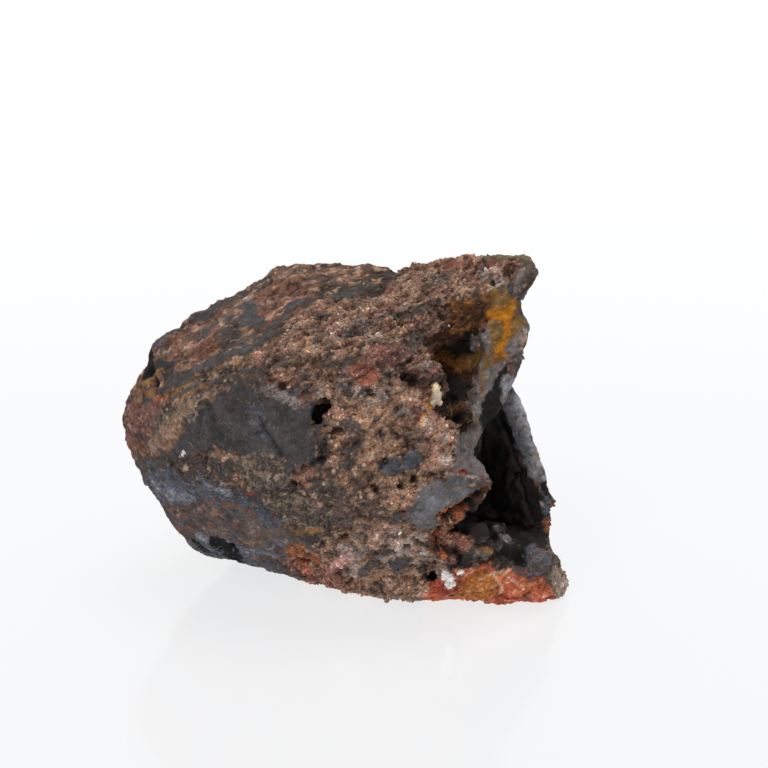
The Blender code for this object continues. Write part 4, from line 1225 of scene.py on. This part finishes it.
def goethite_material():
    """Near-black goethite with brown in its seams."""
    material, tree, surface = new_material("goethite")
    where = tree.nodes.new("ShaderNodeTexCoord").outputs["Object"]
    soft = add(tree, "ShaderNodeTexNoise", {"Vector": where, "Scale": 420.0, "Detail": 4.0}).outputs["Fac"]
    fine = add(tree, "ShaderNodeTexNoise", {"Vector": where, "Scale": 3800.0, "Detail": 3.0}).outputs["Fac"]
    colour = mixed(tree, ramp(tree, soft, 0.45, 0.7), (0.007, 0.006, 0.0056, 1), (0.028, 0.018, 0.011, 1))
    tree.links.new(colour, surface.inputs["Base Color"])
    tree.links.new(ramp(tree, fine, 0.3, 0.7, 0.5, 0.8), surface.inputs["Roughness"])
    bump = add(tree, "ShaderNodeBump", {"Height": fine, "Strength": 0.6, "Distance": 0.0002})
    tree.links.new(bump.outputs["Normal"], surface.inputs["Normal"])
    surface.inputs["Specular IOR Level"].default_value = 0.2
    return material


# Grains, by Geometry Nodes.


def random_value(tree, seed):
    """A number from 0 to 1 for each point or instance."""
    return add(tree, "FunctionNodeRandomValue", {2: 0.0, 3: 1.0, "Seed": seed}).outputs[1]


def random_vector(tree, low, high, seed):
    sockets = {"Min": (low,) * 3, "Max": (high,) * 3, "Seed": seed}
    return add(tree, "FunctionNodeRandomValue", sockets, data_type="FLOAT_VECTOR").outputs[0]


def scatter_tree():
    """Lopsided crystals scattered over the faces of a mesh, as thick as a named attribute says."""
    tree = bpy.data.node_groups.new("scattered grains", "GeometryNodeTree")
    for name, kind in (
        ("Geometry", "NodeSocketGeometry"),
        ("Spacing", "NodeSocketFloat"),
        ("Share", "NodeSocketFloat"),
        ("Smallest", "NodeSocketFloat"),
        ("Largest", "NodeSocketFloat"),
        ("Seed", "NodeSocketInt"),
        ("Material", "NodeSocketMaterial"),
    ):
        tree.interface.new_socket(name, in_out="INPUT", socket_type=kind)
    tree.interface.new_socket("Geometry", in_out="OUTPUT", socket_type="NodeSocketGeometry")
    given = tree.nodes.new("NodeGroupInput").outputs
    spread = add(
        tree, "GeometryNodeDistributePointsOnFaces",
        {
            "Mesh": given["Geometry"], "Distance Min": given["Spacing"], "Density Max": 3.0e7,
            "Density Factor": given["Share"], "Seed": given["Seed"],
        },
        distribute_method="POISSON",
    )
    block = add(tree, "GeometryNodeMeshCube", {"Size": (1.0, 1.0, 1.0)}).outputs["Mesh"]
    skew = random_vector(tree, -0.26, 0.26, 4)
    shape = add(tree, "GeometryNodeSetPosition", {"Geometry": block, "Offset": skew}).outputs[0]
    turn = random_vector(tree, 0.0, math.tau, 11)
    size = maths(tree, "SUBTRACT", given["Largest"], given["Smallest"])
    mostly_small = maths(tree, "POWER", random_value(tree, 12), 2.5)
    size = maths(tree, "MULTIPLY_ADD", mostly_small, size, given["Smallest"])
    scale = vector_maths(tree, "SCALE", {0: random_vector(tree, 0.45, 1.15, 13), "Scale": size})
    placed = add(
        tree, "GeometryNodeInstanceOnPoints",
        {"Points": spread.outputs["Points"], "Instance": shape, "Rotation": turn, "Scale": scale},
    ).outputs[0]
    for name, seed in (("tone", 21), ("hue", 22)):
        placed = add(
            tree, "GeometryNodeStoreNamedAttribute",
            {"Geometry": placed, "Name": name, "Value": random_value(tree, seed)},
            data_type="FLOAT", domain="INSTANCE",
        ).outputs[0]
    solid = add(tree, "GeometryNodeRealizeInstances", {"Geometry": placed}).outputs[0]
    sockets = {"Geometry": solid, "Material": given["Material"]}
    finished = add(tree, "GeometryNodeSetMaterial", sockets).outputs[0]
    tree.links.new(finished, tree.nodes.new("NodeGroupOutput").inputs["Geometry"])
    return tree


def scattered(name, skin, measures, seed, tree, material):
    """A piece made of grains spread over the skin, where the skin's attribute of the same name is high."""
    spacing, smallest, largest = measures
    made = new_object(name, skin.data.copy())
    nodes = made.modifiers.new("grains", "NODES")
    nodes.node_group = tree
    sockets = {item.name: item.identifier for item in tree.interface.items_tree if item.in_out == "INPUT"}
    for socket, value in (
        ("Spacing", spacing * MM), ("Smallest", smallest * MM), ("Largest", largest * MM), ("Seed", seed),
        ("Material", material),
    ):
        nodes[sockets[socket]] = value
    nodes[sockets["Share"] + "_use_attribute"] = True
    nodes[sockets["Share"] + "_attribute_name"] = name
    applied(made)
    return made


# The pieces.


def make_skin(material):
    """The whole lump of ore, fine and weathered, in place of the plain solid."""
    skin = merged_copy("rock_skin", "matrix")
    tree = face_tree(skin.data)
    crust = points_of(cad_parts["goethite_crust"].data)
    lining = point_tree(crust, range(len(crust)))
    remeshed(skin, SKIN_CELL)
    finer_where_seen(skin)
    points = points_of(skin.data)
    normals = normals_of(skin.data)
    seen = seen_by_camera(points, normals, face_tree(skin.data))
    tint, crumb, gloss, specks = paint(points, tree, lining, seen)
    moved, height = weather(points, normals, crumb, tree)
    # Painted shade, partly dust, in the hollows and pits, and a painted highlight on the lumps: the tint
    # follows the height of the relief.
    tint *= np.clip(1.2 + 0.75 * height, 0.16, 1.45)[:, None]  # hollows are darker
    low, high = (np.array(corner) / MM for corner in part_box("matrix"))
    moved = np.clip(moved, low - SKIN_BEYOND, high + SKIN_BEYOND)
    moved[:, 2] = np.maximum(moved[:, 2], 0.0)
    set_points(skin.data, moved)
    write_colours(skin.data, "tint", tint)
    seen &= normals_of(skin.data) @ np.array(BACK) > FACING
    # Grains lie on crumbly ore, clear of the floor and of deep pits.
    thick = smooth_step(0.45, 0.8, crumb) * (points[:, 2] > 0.6) * smooth_step(-0.7, -0.3, height)
    for name, values in (
        ("crumb", crumb), ("gloss", gloss), ("specks", specks),
        ("front_grains", thick * seen), ("far_grains", thick * ~seen),
    ):
        write_values(skin.data, name, values)
    smooth = [bool(crumb[list(polygon.vertices)].mean() < 0.4) for polygon in skin.data.polygons]
    skin.data.polygons.foreach_set("use_smooth", smooth)
    set_material(skin, material)
    return skin


def make_lining(material):
    """The knobbly goethite of the hollow, in place of the plain crust."""
    lining = merged_copy("goethite_lining", "goethite_crust")
    remeshed(lining, LINING_CELL)
    points = points_of(lining.data)
    normals = normals_of(lining.data)
    knobs = 0.5 * (0.5 - sample(cells, points, 2.2)) + 0.25 * (0.5 - sample(cells, points, 0.9, 3.0))
    set_points(lining.data, points + normals * (0.25 + knobs)[:, None])
    lining.data.polygons.foreach_set("use_smooth", [True] * len(lining.data.polygons))
    set_material(lining, material)
    return lining


def add_crystal(bm, foot, turned, length, width):
    """One crystal that stands on foot and points along the Z axis of turned."""
    rings = []
    for height, spread in ((-0.4 * length, 0.5), (0.6 * length, 0.42)):
        ring = []
        for step in range(CRYSTAL_SIDES):
            angle = math.tau * step / CRYSTAL_SIDES
            corner = Vector((math.cos(angle) * width * spread, math.sin(angle) * width * spread, height))
            ring.append(bm.verts.new((foot + turned @ corner) * MM))
        rings.append(ring)
    tip = bm.verts.new((foot + turned @ Vector((0.08 * width, 0, length))) * MM)
    bm.faces.new(rings[0][::-1])
    for step in range(CRYSTAL_SIDES):
        after = (step + 1) % CRYSTAL_SIDES
        bm.faces.new((rings[0][step], rings[0][after], rings[1][after], rings[1][step]))
        bm.faces.new((rings[1][step], rings[1][after], tip))


def make_crystals(material):
    """Six-sided quartz crystals with pointed ends, sunk a little into the rock."""
    tree = face_tree(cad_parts["matrix"].data)
    bm = bmesh.new()
    colours = []
    for length, width, lean, tint, places in CRYSTALS:
        for place in places:
            foot = on_rock(tree, place)
            if foot is None:
                continue
            outwards = tree.find_nearest(foot)[1]
            wobble = noise.random_unit_vector() * 0.5
            turned = (outwards + wobble + UP * lean).normalized().to_track_quat("Z", "Y").to_matrix()
            size = 0.75 + 0.5 * noise.random()
            add_crystal(bm, foot, turned, length * size, width * size)
            colours.extend([daylight(tint)] * (2 * CRYSTAL_SIDES + 1))
    mesh = bpy.data.meshes.new("quartz")
    bm.to_mesh(mesh)
    bm.free()
    write_colours(mesh, "tint", np.array(colours))
    quartz = new_object("quartz", mesh)
    quartz.data.materials.append(material)
    return quartz


def make_floor():
    """A plain pale floor with a faint gloss, lit from below as a light table is."""
    bm = bmesh.new()
    bmesh.ops.create_grid(bm, x_segments=1, y_segments=1, size=3.0)
    mesh = bpy.data.meshes.new("floor")
    bm.to_mesh(mesh)
    bm.free()
    floor = new_object("floor", mesh)
    material, _, surface = new_material("floor")
    surface.inputs["Base Color"].default_value = (0.14, 0.14, 0.143, 1)
    surface.inputs["Emission Color"].default_value = (0.985, 0.99, 1.0, 1)
    surface.inputs["Emission Strength"].default_value = 0.755
    surface.inputs["Roughness"].default_value = 0.14
    surface.inputs["Specular IOR Level"].default_value = 0.36
    floor.data.materials.append(material)


def make_light():
    """A white room with two large soft lamps, one in front and one above."""
    scene = bpy.context.scene
    world = bpy.data.worlds.new("white room")
    world.use_nodes = True
    world.node_tree.nodes["Background"].inputs["Color"].default_value = (1.0, 1.0, 1.0, 1)
    world.node_tree.nodes["Background"].inputs["Strength"].default_value = 0.6
    scene.world = world
    for name, place, size, power in (
        ("key", (-0.7, -1.1, 1.4), 0.7, 7.0),
        ("top", (0.2, 0.35, 1.7), 0.8, 13.0),
    ):
        data = bpy.data.lights.new(name, "AREA")
        data.size = size
        data.energy = power
        lamp = bpy.data.objects.new(name, data)
        lamp.location = place
        lamp.rotation_euler = (Vector((0, 0, 0.02)) - Vector(place)).to_track_quat("-Z", "Y").to_euler()
        scene.collection.objects.link(lamp)
    scene.view_settings.view_transform = "Standard"


def main():
    noise.seed_set(7)
    make_camera()
    make_light()
    make_floor()
    skin = make_skin(ore_material())
    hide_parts("matrix")
    lining = make_lining(goethite_material())
    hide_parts("goethite_crust")
    grains = grain_material()
    tree = scatter_tree()
    near = scattered("front_grains", skin, FRONT_GRAINS, 1, tree, grains)
    far = scattered("far_grains", skin, FAR_GRAINS, 2, tree, grains)
    quartz = make_crystals(quartz_material())
    for piece, slot in (
        (skin, "iron_ore"), (lining, "goethite"), (near, "iron_ore"), (far, "iron_ore"), (quartz, "iron_ore"),
    ):
        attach(piece, BODY)
        print(piece.name, sum(len(polygon.vertices) - 2 for polygon in piece.data.polygons), "triangles")


main()
